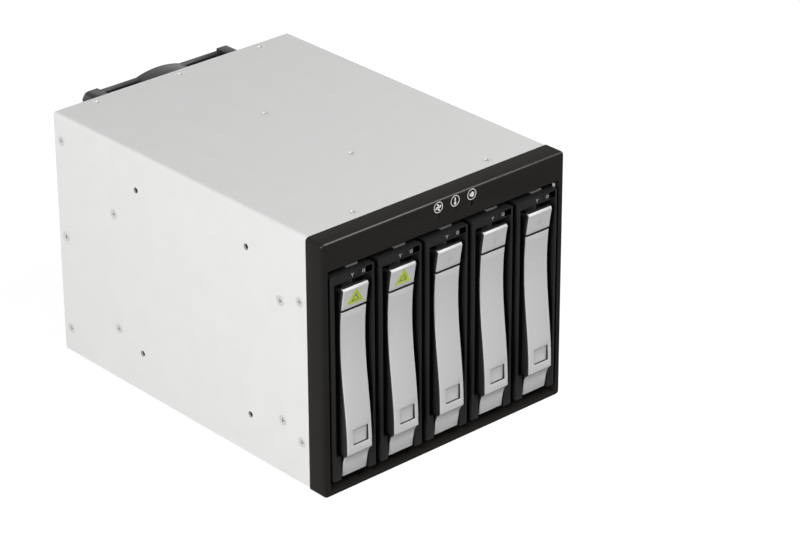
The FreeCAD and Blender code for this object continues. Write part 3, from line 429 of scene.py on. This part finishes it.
board_green = lacquered_board("board_green", (0.006, 0.055, 0.022), (0.012, 0.095, 0.035))
coat(board_green, "backplane_board", "indicator_board")
coat(plated, "board_standoffs")

socket_black = Paint("socket_plastic_black")
dulled = socket_black.cloud(4 * MM, 3)
socket_black.give(Base_Color=socket_black.blend(dulled, (0.014, 0.014, 0.015), (0.024, 0.024, 0.025)),
                  Roughness=0.36 + 0.12 * socket_black.cloud(1 * MM, 2))
coat(socket_black, "drive_connectors", "data_ports")

nylon = Paint("natural_nylon", Subsurface_Weight=0.1, Subsurface_Radius=(0.002, 0.0015, 0.001))
milky = nylon.cloud(6 * MM, 3)
nylon.give(Base_Color=nylon.blend(milky, (0.66, 0.63, 0.55), (0.76, 0.74, 0.67)),
           Roughness=0.34 + 0.12 * nylon.cloud(1 * MM, 2))
coat(nylon, "power_sockets", "fan_header")

glossy_black = Paint("glossy_black_plastic")
glossy_black.give(Base_Color=glossy_black.blend(glossy_black.cloud(3 * MM, 3), 0.012, 0.02),
                  Roughness=0.18 + 0.10 * glossy_black.cloud(1.5 * MM, 3))
coat(glossy_black, "buzzer", "mute_button")

gold = Paint("gold_plating", Metallic=1.0)
rubbed = gold.cloud(0.8 * MM, 3)
gold.give(Base_Color=gold.blend(rubbed, (0.70, 0.47, 0.16), (0.86, 0.62, 0.26)),
          Roughness=0.18 + 0.16 * rubbed)

plug_contacts = []
for low, high in solids_of("drive_connectors"):
    x = (low.x + high.x) / 2 - PLUG_TONGUE_X
    for first, count in PLUG_ROWS:
        for i in range(count):
            z = low.z + first + i * DATA_STEP
            plug_contacts.append(((x, low.y + PLUG_CONTACT_IN[0], z - CONTACT_W / 2),
                                  (x + GOLD_T, low.y + PLUG_CONTACT_IN[1], z + CONTACT_W / 2)))
gold_strips("drive_plug_contacts", "cage", plug_contacts, "guard_wire")

port_contacts = []
for low, high in solids_of("data_ports"):
    middle = (low + high) / 2
    z = middle.z + PORT_TONGUE_Z
    for i in range(PORT_CONTACTS):
        x = middle.x + (i - (PORT_CONTACTS - 1) / 2) * DATA_STEP
        port_contacts.append(((x - CONTACT_W / 2, high.y - PORT_CONTACT_IN[0], z),
                              (x + CONTACT_W / 2, high.y - PORT_CONTACT_IN[1], z + GOLD_T)))
gold_strips("data_port_contacts", "cage", port_contacts, "guard_wire")


def power_pin():
    """Round pin with a tapered tip, looking back from the origin."""
    pin = fresh("cylinder", vertices=20, radius=PIN_R, depth=PIN_L, location=(0, 0, PIN_L / 2))
    bpy.ops.object.mode_set(mode="EDIT")
    pick("FACE", lambda face: face.normal.z > SQUARE_ON)
    bpy.ops.mesh.extrude_region_move(TRANSFORM_OT_translate={"value": (0, 0, PIN_TIP)})
    bpy.ops.transform.resize(value=(0.5, 0.5, 1), center_override=(0, 0, PIN_L / 2 + PIN_TIP))
    bpy.ops.object.mode_set(mode="OBJECT")
    return modified(applied(pin), "BEVEL", width=0.12 * MM, segments=2, limit_method="ANGLE")


pin = power_pin()
pins = []
for low, high in solids_of("power_sockets"):
    middle = (low + high) / 2
    for i in range(POWER_PINS):
        x = middle.x + (i - (POWER_PINS - 1) / 2) * PIN_STEP
        pins.append(twin(pin, Matrix.Translation((x, high.y - PIN_IN, middle.z)) @ FACING_BACK))
bpy.data.objects.remove(pin)
settle(joined(pins), "power_pins", "cage", plated, "guard_wire")

# ------------------------------------------------------------------ fan
# A square 92 mm fan of black plastic is screwed to the rear panel by four long pan head screws.
# They also hold the finger guard, whose rings of bright wire are welded behind a wire cross.

WIRE_R = 0.8 * MM
GUARD_RINGS = (12 * MM, 22 * MM, 32 * MM, 42 * MM)
CROSS_START = GUARD_RINGS[0] - 2 * MM
EYE_R = 3.2 * MM
PAN_R = 3.5 * MM
PAN_H = 1.2 * MM
PAN_EDGE_W = 0.8 * MM
PAN_CROSS = (0.9 * MM, 2.0 * MM, 0.8 * MM)
LONG_SHANK_R = 1.6 * MM
FAN_EDGE_W = 0.5 * MM
FLAT_WITHIN = math.radians(0.6)


def cleaned(node):
    """Welded copy of a CAD node whose flat faces are whole."""
    piece = merged(node)
    bpy.ops.object.mode_set(mode="EDIT")
    bpy.ops.mesh.select_all(action="SELECT")
    bpy.ops.mesh.dissolve_limited(angle_limit=FLAT_WITHIN, use_dissolve_boundaries=False)
    bpy.ops.object.mode_set(mode="OBJECT")
    return piece


def softened(piece, width, crease=38):
    """Rounds off the edges of a piece that are sharper than the crease angle."""
    return modified(piece, "BEVEL", width=width, segments=2, limit_method="ANGLE",
                    angle_limit=math.radians(crease), miter_outer="MITER_ARC")


def pan_screw(length):
    """Pan head screw with a cross recess; its head's top lies at the origin and looks up."""
    screw = fresh("cylinder", vertices=32, radius=PAN_R, depth=PAN_H, location=(0, 0, -PAN_H / 2))
    applied(screw)
    bpy.ops.object.mode_set(mode="EDIT")
    pick("EDGE", lambda edge: min(v.co.z for v in edge.verts) > -0.01 * MM)
    bpy.ops.mesh.bevel(offset=PAN_EDGE_W, segments=4, affect="EDGES")
    pick("FACE", lambda face: face.normal.z < -SQUARE_ON)
    bpy.ops.mesh.inset(thickness=PAN_R - LONG_SHANK_R)
    bpy.ops.mesh.extrude_region_move(TRANSFORM_OT_translate={"value": (0, 0, PAN_H - length)})
    bpy.ops.object.mode_set(mode="OBJECT")
    return cut_out(screw, cross_recess(*PAN_CROSS))


def wire(length, place):
    """Straight wire with rounded ends along Z, put in place by a matrix."""
    rod = fresh("cylinder", vertices=14, radius=WIRE_R, depth=length)
    modified(rod, "BEVEL", width=0.6 * WIRE_R, segments=2, limit_method="ANGLE")
    rod.data.transform(place)
    return rod


def wire_loop(radius, around, segments=72):
    """Ring of round wire that stands across the fan's axis."""
    return fresh("torus", major_radius=radius, minor_radius=WIRE_R, major_segments=segments,
                 minor_segments=12, location=around, rotation=(math.radians(90), 0, 0))


fan_black = Paint("fan_plastic", Specular_IOR_Level=0.12)
flow = fan_black.cloud(9 * MM, 3, stretch=(1, 0.5, 1))
fan_black.give(Base_Color=fan_black.blend(flow, 0.010, 0.018),
               Roughness=0.20 + 0.12 * fan_black.cloud(1.2 * MM, 4))
fan_black.relief(flow, 0.03 * MM, 0.3)
coat(fan_black, "fan_rotor")
settle(softened(cleaned("fan_frame"), FAN_EDGE_W),
       "fan_housing", "cage", fan_black, "fan_plastic", "fan_frame")

bright_wire = Paint("bright_wire", Metallic=1.0)
drawn = bright_wire.cloud(0.6 * MM, 3)
bright_wire.give(Base_Color=bright_wire.blend(drawn, (0.62, 0.62, 0.62), (0.80, 0.80, 0.79)),
                 Roughness=0.12 + 0.14 * drawn)

guard_low, guard_high = (Vector(corner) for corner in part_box("fan_guard"))
axis = (guard_low + guard_high) / 2
screw_tops = [Vector(((low.x + high.x) / 2, high.y, (low.z + high.z) / 2))
              for low, high in solids_of("fan_screws")]
wires = [wire_loop(radius, (axis.x, guard_high.y - WIRE_R, axis.z)) for radius in GUARD_RINGS]
for top in screw_tops:
    eye = Vector((top.x, guard_low.y + WIRE_R, top.z))
    wires.append(wire_loop(EYE_R, eye, 32))
    centre = Vector((axis.x, eye.y, axis.z))
    outward = (eye - centre).normalized()
    start = centre + outward * CROSS_START
    end = eye - outward * EYE_R
    turn = outward.to_track_quat("Z", "Y").to_matrix().to_4x4()
    wires.append(wire((end - start).length, Matrix.Translation((start + end) / 2) @ turn))
settle(joined(wires), "finger_guard", "cage", bright_wire, "guard_wire", "fan_guard")

low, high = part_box("fan_screws")
long_screw = pan_screw(high[1] - low[1])
long_screws = [twin(long_screw, Matrix.Translation(top) @ FACING_BACK) for top in screw_tops]
bpy.data.objects.remove(long_screw)
settle(joined(long_screws), "fan_long_screws", "cage", plated, "screw_steel", "fan_screws")

# ------------------------------------------------------------------ bezel
# One black moulding with a finely eroded face. Its collar enters the case and is screwed to it.
# Three symbols are printed in white over two lights and the recessed mute button.

PRINT_T = 0.04 * MM
SYMBOL_R = 2.5 * MM
SYMBOL_LINE = 0.32 * MM
SYMBOL_DROP = 3.6 * MM
BEZEL_EDGE_W = 0.25 * MM
RIGHT_ANGLES = 50
SILL_EDGE_W = 0.4 * MM
SILL_RISE = (2 * MM, 8 * MM)
SILL_MIN_L = 20 * MM
EDGE_NEAR = 0.05 * MM
SHEEN = 0.35
LUG_SIZE = Vector((1.0, 1.4, 3.4)) * MM
LUG_FROM_RIGHT = 3.95 * MM
LUG_FROM_FRONT = 2.6 * MM
LUG_FROM_TOP = 17.4 * MM
FACING_FRONT = Matrix.Rotation(math.radians(90), 4, "X")

bezel_low, bezel_high = (Vector(corner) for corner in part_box("bezel"))


def edges_worked(piece, width, segments, test):
    """Bevels only the edges that pass a test, with a width of their own."""
    alone(piece)
    bpy.ops.object.mode_set(mode="EDIT")
    pick("EDGE", test)
    bpy.ops.mesh.bevel(offset=width, segments=segments, affect="EDGES")
    bpy.ops.object.mode_set(mode="OBJECT")
    return piece


def on_sill(edge):
    """Tells the front edge of the opening's lower wall."""
    one, other = (v.co for v in edge.verts)
    return (max(abs(one.y - bezel_low.y), abs(other.y - bezel_low.y), abs(one.z - other.z)) < EDGE_NEAR
            and SILL_RISE[0] < one.z - bezel_low.z < SILL_RISE[1] and abs(one.x - other.x) > SILL_MIN_L)


bezel_black = Paint("bezel_black", Specular_IOR_Level=0.03, Coat_Roughness=0.18)
eroded = bezel_black.cloud(0.32 * MM, 4)
shade = bezel_black.cloud(25 * MM, 3)
bezel_black.give(Base_Color=bezel_black.blend(shade, (0.0132, 0.0121, 0.0109), (0.0168, 0.0156, 0.0141)),
                 Roughness=0.44 + 0.18 * eroded,
                 Coat_Weight=SHEEN * (bezel_black.facing("Y") < -0.3) * (bezel_black.facing("Z") > 0.3))
bezel_black.relief(eroded, 0.035 * MM, 0.55)
shell = edges_worked(cleaned("bezel"), SILL_EDGE_W, 2, on_sill)
settle(softened(shell, BEZEL_EDGE_W, RIGHT_ANGLES),
       "bezel_moulding", "cage", bezel_black, "bezel_plastic", "bezel")

lug_spot = (bezel_high.x - LUG_FROM_RIGHT, bezel_low.y + LUG_FROM_FRONT, bezel_high.z - LUG_FROM_TOP)
lug = fresh("cube", size=1, location=lug_spot)
lug.scale = LUG_SIZE
modified(applied(lug), "BEVEL", width=0.3 * MM, segments=3)
settle(lug, "corner_lug", "cage", zinc, "case_steel")

smoked = Paint("smoked_light_pipe", Specular_IOR_Level=0.1)
smoked.give(Base_Color=smoked.blend(smoked.cloud(2 * MM, 2), 0.006, 0.011),
            Roughness=0.25 + 0.10 * smoked.cloud(1 * MM, 2))
coat(smoked, "status_lights", *[f"tray_{k}_lights" for k in TRAYS])


def printed_dot(radius, x=0, y=0, width=1.0):
    """Flat printed disc or oval that looks up."""
    disc = fresh("cylinder", vertices=32, radius=radius, depth=PRINT_T, location=(x, y, PRINT_T / 2))
    disc.scale = (width, 1, 1)
    return modified(applied(disc), "BEVEL", width=PRINT_T / 3, segments=1, limit_method="ANGLE")


def printed_ring(radius, line):
    """Flat printed ring that looks up."""
    loop = fresh("torus", major_radius=radius, minor_radius=line / 2, major_segments=48,
                 minor_segments=8)
    loop.scale = (1, 1, 2 * PRINT_T / line)
    return applied(loop)


def printed_bar(length, width, x=0, y=0, turn=0):
    """Flat printed stroke with round ends that looks up; unturned it runs along Y."""
    bar = fresh("cube", size=1, location=(x, y, PRINT_T / 2), rotation=(0, 0, math.radians(turn)))
    bar.scale = (width, length, PRINT_T)
    applied(bar)
    bpy.ops.object.mode_set(mode="EDIT")
    pick("EDGE", lambda edge: abs(edge.verts[0].co.z - edge.verts[1].co.z) > PRINT_T / 2)
    bpy.ops.mesh.bevel(offset=width * 0.48, segments=4, affect="EDGES")
    bpy.ops.object.mode_set(mode="OBJECT")
    return bar


def fan_symbol():
    """Four blades round a hub."""
    strokes = []
    for turn in range(0, 360, 90):
        vane = printed_dot(0.88 * MM, width=0.48)
        tilted = Matrix.Rotation(math.radians(35), 4, "Z")
        outward = Matrix.Translation((0, 1.12 * MM, 0))
        vane.data.transform(Matrix.Rotation(math.radians(turn + 10), 4, "Z") @ outward @ tilted)
        strokes.append(vane)
    return strokes + [printed_dot(0.36 * MM)]


def heat_symbol():
    """Thermometer."""
    return [printed_bar(2.6 * MM, 0.62 * MM, 0, 0.35 * MM), printed_dot(0.72 * MM, 0, -1.1 * MM)]


def sound_symbol():
    """Sounder with its waves."""
    return [printed_bar(1.4 * MM, 1.2 * MM, -0.7 * MM), printed_bar(2.7 * MM, 1.1 * MM, 0.2 * MM),
            printed_bar(1.9 * MM, 0.42 * MM, 1.15 * MM)]


white_ink = Paint("white_ink")
grainy = white_ink.cloud(0.2 * MM, 3)
white_ink.give(Base_Color=white_ink.blend(grainy, (0.70, 0.70, 0.68), (0.84, 0.84, 0.82)),
               Roughness=0.45 + 0.15 * grainy)

hole_x = [(low.x + high.x) / 2 for low, high in solids_of("status_lights")]
hole_x.append(2 * hole_x[1] - hole_x[0])
for name, strokes, x in zip(("fan", "heat", "sound"), (fan_symbol, heat_symbol, sound_symbol), hole_x):
    symbol = joined(strokes() + [printed_ring(SYMBOL_R, SYMBOL_LINE)])
    symbol.data.transform(Matrix.Translation((x, bezel_low.y, bezel_high.z - SYMBOL_DROP)) @ FACING_FRONT)
    settle(symbol, f"symbol_{name}", "cage", white_ink, "guard_wire")

# ------------------------------------------------------------------ trays
# Each tray is a steel channel for one drive, with a dark grey moulding on its front. Two light
# pipes end in windows in the moulding's top bar, each with a small printed sign beside it.

TRAY_EDGE_W = 0.25 * MM
SIGN_DROP = 2.1 * MM
SIGN_LINE = 0.26 * MM
SQUARE_X = 6.1 * MM
SQUARE_HALF = 0.6 * MM
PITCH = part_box("tray_2_face")[0][0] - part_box("tray_1_face")[0][0]

tray_grey = Paint("tray_plastic", Specular_IOR_Level=0.06)
sparked = tray_grey.cloud(0.30 * MM, 4)
tray_grey.give(Base_Color=tray_grey.blend(tray_grey.cloud(18 * MM, 3), 0.012, 0.016),
               Roughness=0.42 + 0.18 * sparked)
tray_grey.relief(sparked, 0.03 * MM, 0.5)

tray_steel = Paint("tray_steel", Metallic=0.8)
streak = tray_steel.cloud(0.4 * MM, 2, stretch=(1, 0.05, 1))
tray_steel.give(Base_Color=tray_steel.blend(streak, (0.58, 0.58, 0.57), (0.70, 0.70, 0.69)),
                Roughness=0.30 + 0.14 * streak)
coat(tray_steel, *[f"tray_{k}_carrier" for k in TRAYS])

grey_ink = Paint("grey_ink")
speckled = grey_ink.cloud(0.2 * MM, 2)
grey_ink.give(Base_Color=grey_ink.blend(speckled, (0.36, 0.36, 0.35), (0.46, 0.46, 0.45)),
              Roughness=0.5 + 0.1 * grey_ink.cloud(0.5 * MM, 2))


def per_tray(piece):
    """The piece of the first tray, with a copy of it for each of the others."""
    copies = [twin(piece, Matrix.Translation((PITCH * i, 0, 0))) for i in range(1, len(TRAYS))]
    return zip(TRAYS, [piece] + copies)


def tray_signs():
    """Fork and square, looking up, with the tray's middle at the origin."""
    strokes = [printed_bar(1.0 * MM, SIGN_LINE, -0.35 * MM, -0.45 * MM),
               printed_bar(1.0 * MM, SIGN_LINE, -0.7 * MM, 0.35 * MM, 45),
               printed_bar(1.0 * MM, SIGN_LINE, 0.05 * MM, 0.35 * MM, -45)]
    for side in (-SQUARE_HALF, SQUARE_HALF):
        strokes.append(printed_bar(1.4 * MM, SIGN_LINE, SQUARE_X + side))
        strokes.append(printed_bar(1.4 * MM, SIGN_LINE, SQUARE_X, side, 90))
    return strokes


face_low, face_high = (Vector(corner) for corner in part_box("tray_1_face"))
for k, piece in per_tray(softened(cleaned("tray_1_face"), TRAY_EDGE_W)):
    settle(piece, f"tray_{k}_front", f"tray_{k}", tray_grey, "tray_plastic", f"tray_{k}_face")

signs = joined(tray_signs())
sign_spot = ((face_low.x + face_high.x) / 2, face_low.y, face_high.z - SIGN_DROP)
signs.data.transform(Matrix.Translation(sign_spot) @ FACING_FRONT)
for k, piece in per_tray(signs):
    settle(piece, f"tray_{k}_signs", f"tray_{k}", grey_ink, "guard_wire")

# ------------------------------------------------------------------ levers
# A silver lacquered shell is clipped over each dark lever arm. The arm turns on two pegs at its
# foot, and the release button slides in the fork at its upper end.

# Depth behind the button's front past which the silver shell is painted near black as shade.
PAINTED_SHADE_DEPTH = 4.6 * MM
LEFT_EDGE_W = 0.9 * MM
SHELL_EDGE_W = 0.18 * MM
RECESS_FROM_RIGHT = 2.0 * MM
RECESS_RISE = 16.4 * MM
RECESS_W = 8.8 * MM
RECESS_H = 7.6 * MM
RECESS_IN = 0.95 * MM
RECESS_LINE = 0.14 * MM
RECESS_LIP = 0.24 * MM
RECESS_LIP_X = 0.34 * MM
TRIANGLE_W = 9.8 * MM
TRIANGLE_OPEN = 0.592
TRIANGLE_RISE = 5.5 * MM
TRIANGLE_SHIFT = 0.4 * MM
TRIANGLE_SLIM = 0.76
HEART_W = 0.30 * TRIANGLE_W
BORDER_W = 0.50 * TRIANGLE_W
BORDER_OPEN = 0.54
MARK_L = 2.4 * MM
MARK_W = 0.45 * MM
MARK_LEAN = -42
SIGNED_TRAYS = (1, 2)
BEFORE_CAP = 2 * MM
STRIP_H = 0.7 * MM
STRIPS_EACH_WAY = 6

arm_grey = Paint("arm_plastic", Specular_IOR_Level=0.1)
arm_grey.give(Base_Color=arm_grey.blend(arm_grey.cloud(12 * MM, 3), 0.018, 0.026),
              Roughness=0.45 + 0.15 * arm_grey.cloud(0.3 * MM, 4))
coat(arm_grey, *[f"lever_{k}_arm" for k in TRAYS])

silver = Paint("silver_lacquer")
flake = silver.cloud(0.12 * MM, 2)
# Painted shade: the side faces, the top faces and everything deeper than a set depth behind the button's
# front are painted near black, so the silver shows only on the front.
painted_shade = (abs(silver.facing("X")) > 0.8) | (silver.facing("Z") > 0.85)
painted_shade = painted_shade | (silver.along(silver.place(), "Y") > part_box("button_1")[0][1] + PAINTED_SHADE_DEPTH)
silver.give(Base_Color=silver.blend(painted_shade, silver.blend(flake, 0.45, 0.54), 0.022),
            Roughness=0.34 + 0.12 * flake)
silver.relief(flake, 0.01 * MM, 0.3)


def lacquered_shell(node):
    """Copy of a lever's shell or a button, its left front edge well rounded."""
    low_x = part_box(node)[0][0]

    def on_left_front(edge):
        if any(abs(v.co.x - low_x) > EDGE_NEAR for v in edge.verts):
            return False
        return min(face.normal.y for face in edge.link_faces) < -0.8

    return softened(edges_worked(cleaned(node), LEFT_EDGE_W, 4, on_left_front), SHELL_EDGE_W, RIGHT_ANGLES)


for k, piece in per_tray(lacquered_shell("lever_1_cover")):
    settle(piece, f"lever_{k}_shell", f"lever_{k}", silver, "lever_silver", f"lever_{k}_cover")
for k, piece in per_tray(lacquered_shell("button_1")):
    settle(piece, f"button_{k}_cap", f"button_{k}", silver, "lever_silver", f"button_{k}")

seam_grey = Paint("seam_grey")
seam_grey.give(Base_Color=seam_grey.blend(seam_grey.cloud(0.5 * MM, 2), 0.18, 0.24),
               Roughness=0.5 + 0.1 * seam_grey.cloud(1 * MM, 2))

for k in TRAYS:
    low, high = (Vector(corner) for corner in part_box(f"lever_{k}_cover"))
    corner = Vector((high.x - RECESS_FROM_RIGHT, low.y + RECESS_IN, low.z + RECESS_RISE))
    line = printed_bar(RECESS_W, RECESS_LINE, turn=90)
    line.data.transform(Matrix.Translation(corner + Vector((-RECESS_W / 2, 0, RECESS_LINE))) @ FACING_FRONT)
    lip = printed_bar(RECESS_H, RECESS_LIP)
    lip.data.transform(Matrix.Translation(corner + Vector((-RECESS_LIP_X, 0, RECESS_H / 2))) @ FACING_FRONT)
    settle(joined([line, lip]), f"lever_{k}_recess_lines", f"lever_{k}", seam_grey, "tray_plastic")


def printed_triangle(width):
    """Flat printed triangle with round corners, around the origin, that points up."""
    shape = fresh("cylinder", vertices=3, radius=1, depth=PRINT_T, location=(0, 0, PRINT_T / 2))
    shape.scale = (width / math.sqrt(3), width * TRIANGLE_SLIM / 1.5, 1)
    applied(shape)
    bpy.ops.object.mode_set(mode="EDIT")
    pick("EDGE", lambda edge: abs(edge.verts[0].co.z - edge.verts[1].co.z) > PRINT_T / 2)
    bpy.ops.mesh.bevel(offset=width * 0.03, segments=3, affect="EDGES")
    bpy.ops.object.mode_set(mode="OBJECT")
    return shape


def triangle_outline(width, opening):
    """Printed triangle with a smaller one cut out, whose size is a share of its own."""
    outline = printed_triangle(width)
    through = Matrix.Translation((0, 0, -PRINT_T)) @ Matrix.Diagonal((opening, opening, 4, 1))
    return cut_out(outline, [twin(outline, through)])


def laid_on(sign, cap, middle_z):
    """Cuts a flat print into strips and lays it on the curved front of a button."""
    alone(sign)
    bpy.ops.object.mode_set(mode="EDIT")
    for i in range(-STRIPS_EACH_WAY, STRIPS_EACH_WAY + 1):
        bpy.ops.mesh.select_all(action="SELECT")
        level = middle_z + i * STRIP_H
        bpy.ops.mesh.bisect(plane_co=(0, 0, level), plane_no=(0, 0, 1))
    bpy.ops.object.mode_set(mode="OBJECT")
    return modified(sign, "SHRINKWRAP", target=cap, wrap_method="PROJECT", use_project_y=True,
                    use_positive_direction=True, use_negative_direction=False, offset=PRINT_T)


lime_ink = Paint("lime_ink")
faded = lime_ink.cloud(0.3 * MM, 3)
lime_ink.give(Base_Color=lime_ink.blend(faded, (0.72, 0.86, 0.03), (0.80, 0.94, 0.05)),
              Roughness=0.4 + 0.15 * lime_ink.cloud(0.6 * MM, 2))

olive_ink = Paint("olive_ink")
worn = olive_ink.cloud(0.3 * MM, 3)
olive_ink.give(Base_Color=olive_ink.blend(worn, (0.38, 0.42, 0.03), (0.44, 0.48, 0.05)),
               Roughness=0.4 + 0.15 * olive_ink.cloud(0.6 * MM, 2))

for k in TRAYS:
    cap = bpy.data.objects[f"button_{k}_cap"]
    cap_low, cap_high = (Vector(corner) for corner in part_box(f"button_{k}"))
    spot = Vector(((cap_low.x + cap_high.x) / 2 + TRIANGLE_SHIFT, cap_low.y - BEFORE_CAP,
                   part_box(f"lever_{k}_cover")[1][2] + TRIANGLE_RISE))
    if k in SIGNED_TRAYS:
        sign = joined([triangle_outline(TRIANGLE_W, TRIANGLE_OPEN), printed_triangle(HEART_W)])
        border = triangle_outline(BORDER_W, BORDER_OPEN)
        prints = (("sign", sign, lime_ink), ("sign_border", border, olive_ink))
    else:
        prints = (("mark", printed_bar(MARK_L, MARK_W, turn=MARK_LEAN), grey_ink),)
    for name, sign, ink in prints:
        sign.data.transform(Matrix.Translation(spot) @ FACING_FRONT)
        laid_on(sign, cap, spot.z)
        settle(sign, f"button_{k}_{name}", f"button_{k}", ink, "lever_silver")

# ------------------------------------------------------------------ studio
# A plain white floor under three soft lamps, and a camera with a long lens at the front left.
# Floor and world show as white and shine little, so the object keeps its own tones and shadow.

TARGET = Vector((8.87 * MM, 40.97 * MM, 73.34 * MM))
CAMERA_AWAY = 1458.3 * MM
AZIMUTH = math.radians(41.902)
ELEVATION = math.radians(26.481)
ROLL = math.radians(-0.2385)
LENS = 142.99
SOFT_LIGHT = 0.05
FLOOR_SIZE = 12
FLOOR_GLOW = 0.90
WHITE_TO = ("Is Camera Ray", "Is Glossy Ray", "Is Transmission Ray")

view = (Matrix.Rotation(-AZIMUTH, 4, "Z") @ Matrix.Rotation(math.radians(90) - ELEVATION, 4, "X")
        @ Matrix.Rotation(ROLL, 4, "Z"))
middle = TARGET + Vector((0, bezel_low.y, 0))
bpy.ops.object.camera_add()
camera = bpy.context.object
camera.matrix_world = Matrix.Translation(middle) @ view @ Matrix.Translation((0, 0, CAMERA_AWAY))
camera.data.lens = LENS
camera.data.clip_end = 20
bpy.context.scene.camera = camera
bpy.context.scene.view_settings.view_transform = "Standard"


def lamp(name, place, size, power):
    """Square soft lamp of a size in metres and a power in watts, which looks at the object."""
    bpy.ops.object.light_add(type="AREA", location=place)
    light = bpy.context.object
    light.name = name
    light.data.size = size
    light.data.energy = power
    light.rotation_euler = (middle - Vector(place)).to_track_quat("-Z", "Y").to_euler()


lamp("left_lamp", (-1.6, -0.45, 0.5), 1.0, 36)
lamp("key_lamp", (0.75, -1.0, 1.23), 0.9, 29)
lamp("back_lamp", (-0.5, 1.6, 0.35), 0.9, 5)

world = bpy.data.worlds.new("studio_world")
bpy.context.scene.world = world
world.use_nodes = True
sky = Shading(world.node_tree)
soft_light = sky.node("ShaderNodeBackground", {}, {"Color": (1, 1, 1, 1), "Strength": SOFT_LIGHT})
backdrop = sky.node("ShaderNodeBackground", {}, {"Color": (1, 1, 1, 1), "Strength": 1.0})
sky.feed(sky.tree.nodes["World Output"].inputs["Surface"],
         sky.node("ShaderNodeMixShader", {}, {0: sky.seen_by(*WHITE_TO), 1: soft_light, 2: backdrop}))

floor = fresh("plane", size=FLOOR_SIZE, location=(0, 0, 0))
floor.name = "floor"
floor_white = Paint("floor_white", Emission_Strength=FLOOR_GLOW)
dust = floor_white.cloud(0.4, 2)
floor_white.give(Base_Color=floor_white.blend(dust, 0.15, 0.17),
                 Roughness=0.9 + 0.02 * dust,
                 Emission_Color=floor_white.blend(floor_white.seen_by(*WHITE_TO), 0, 1))
floor.data.materials.append(floor_white.material)
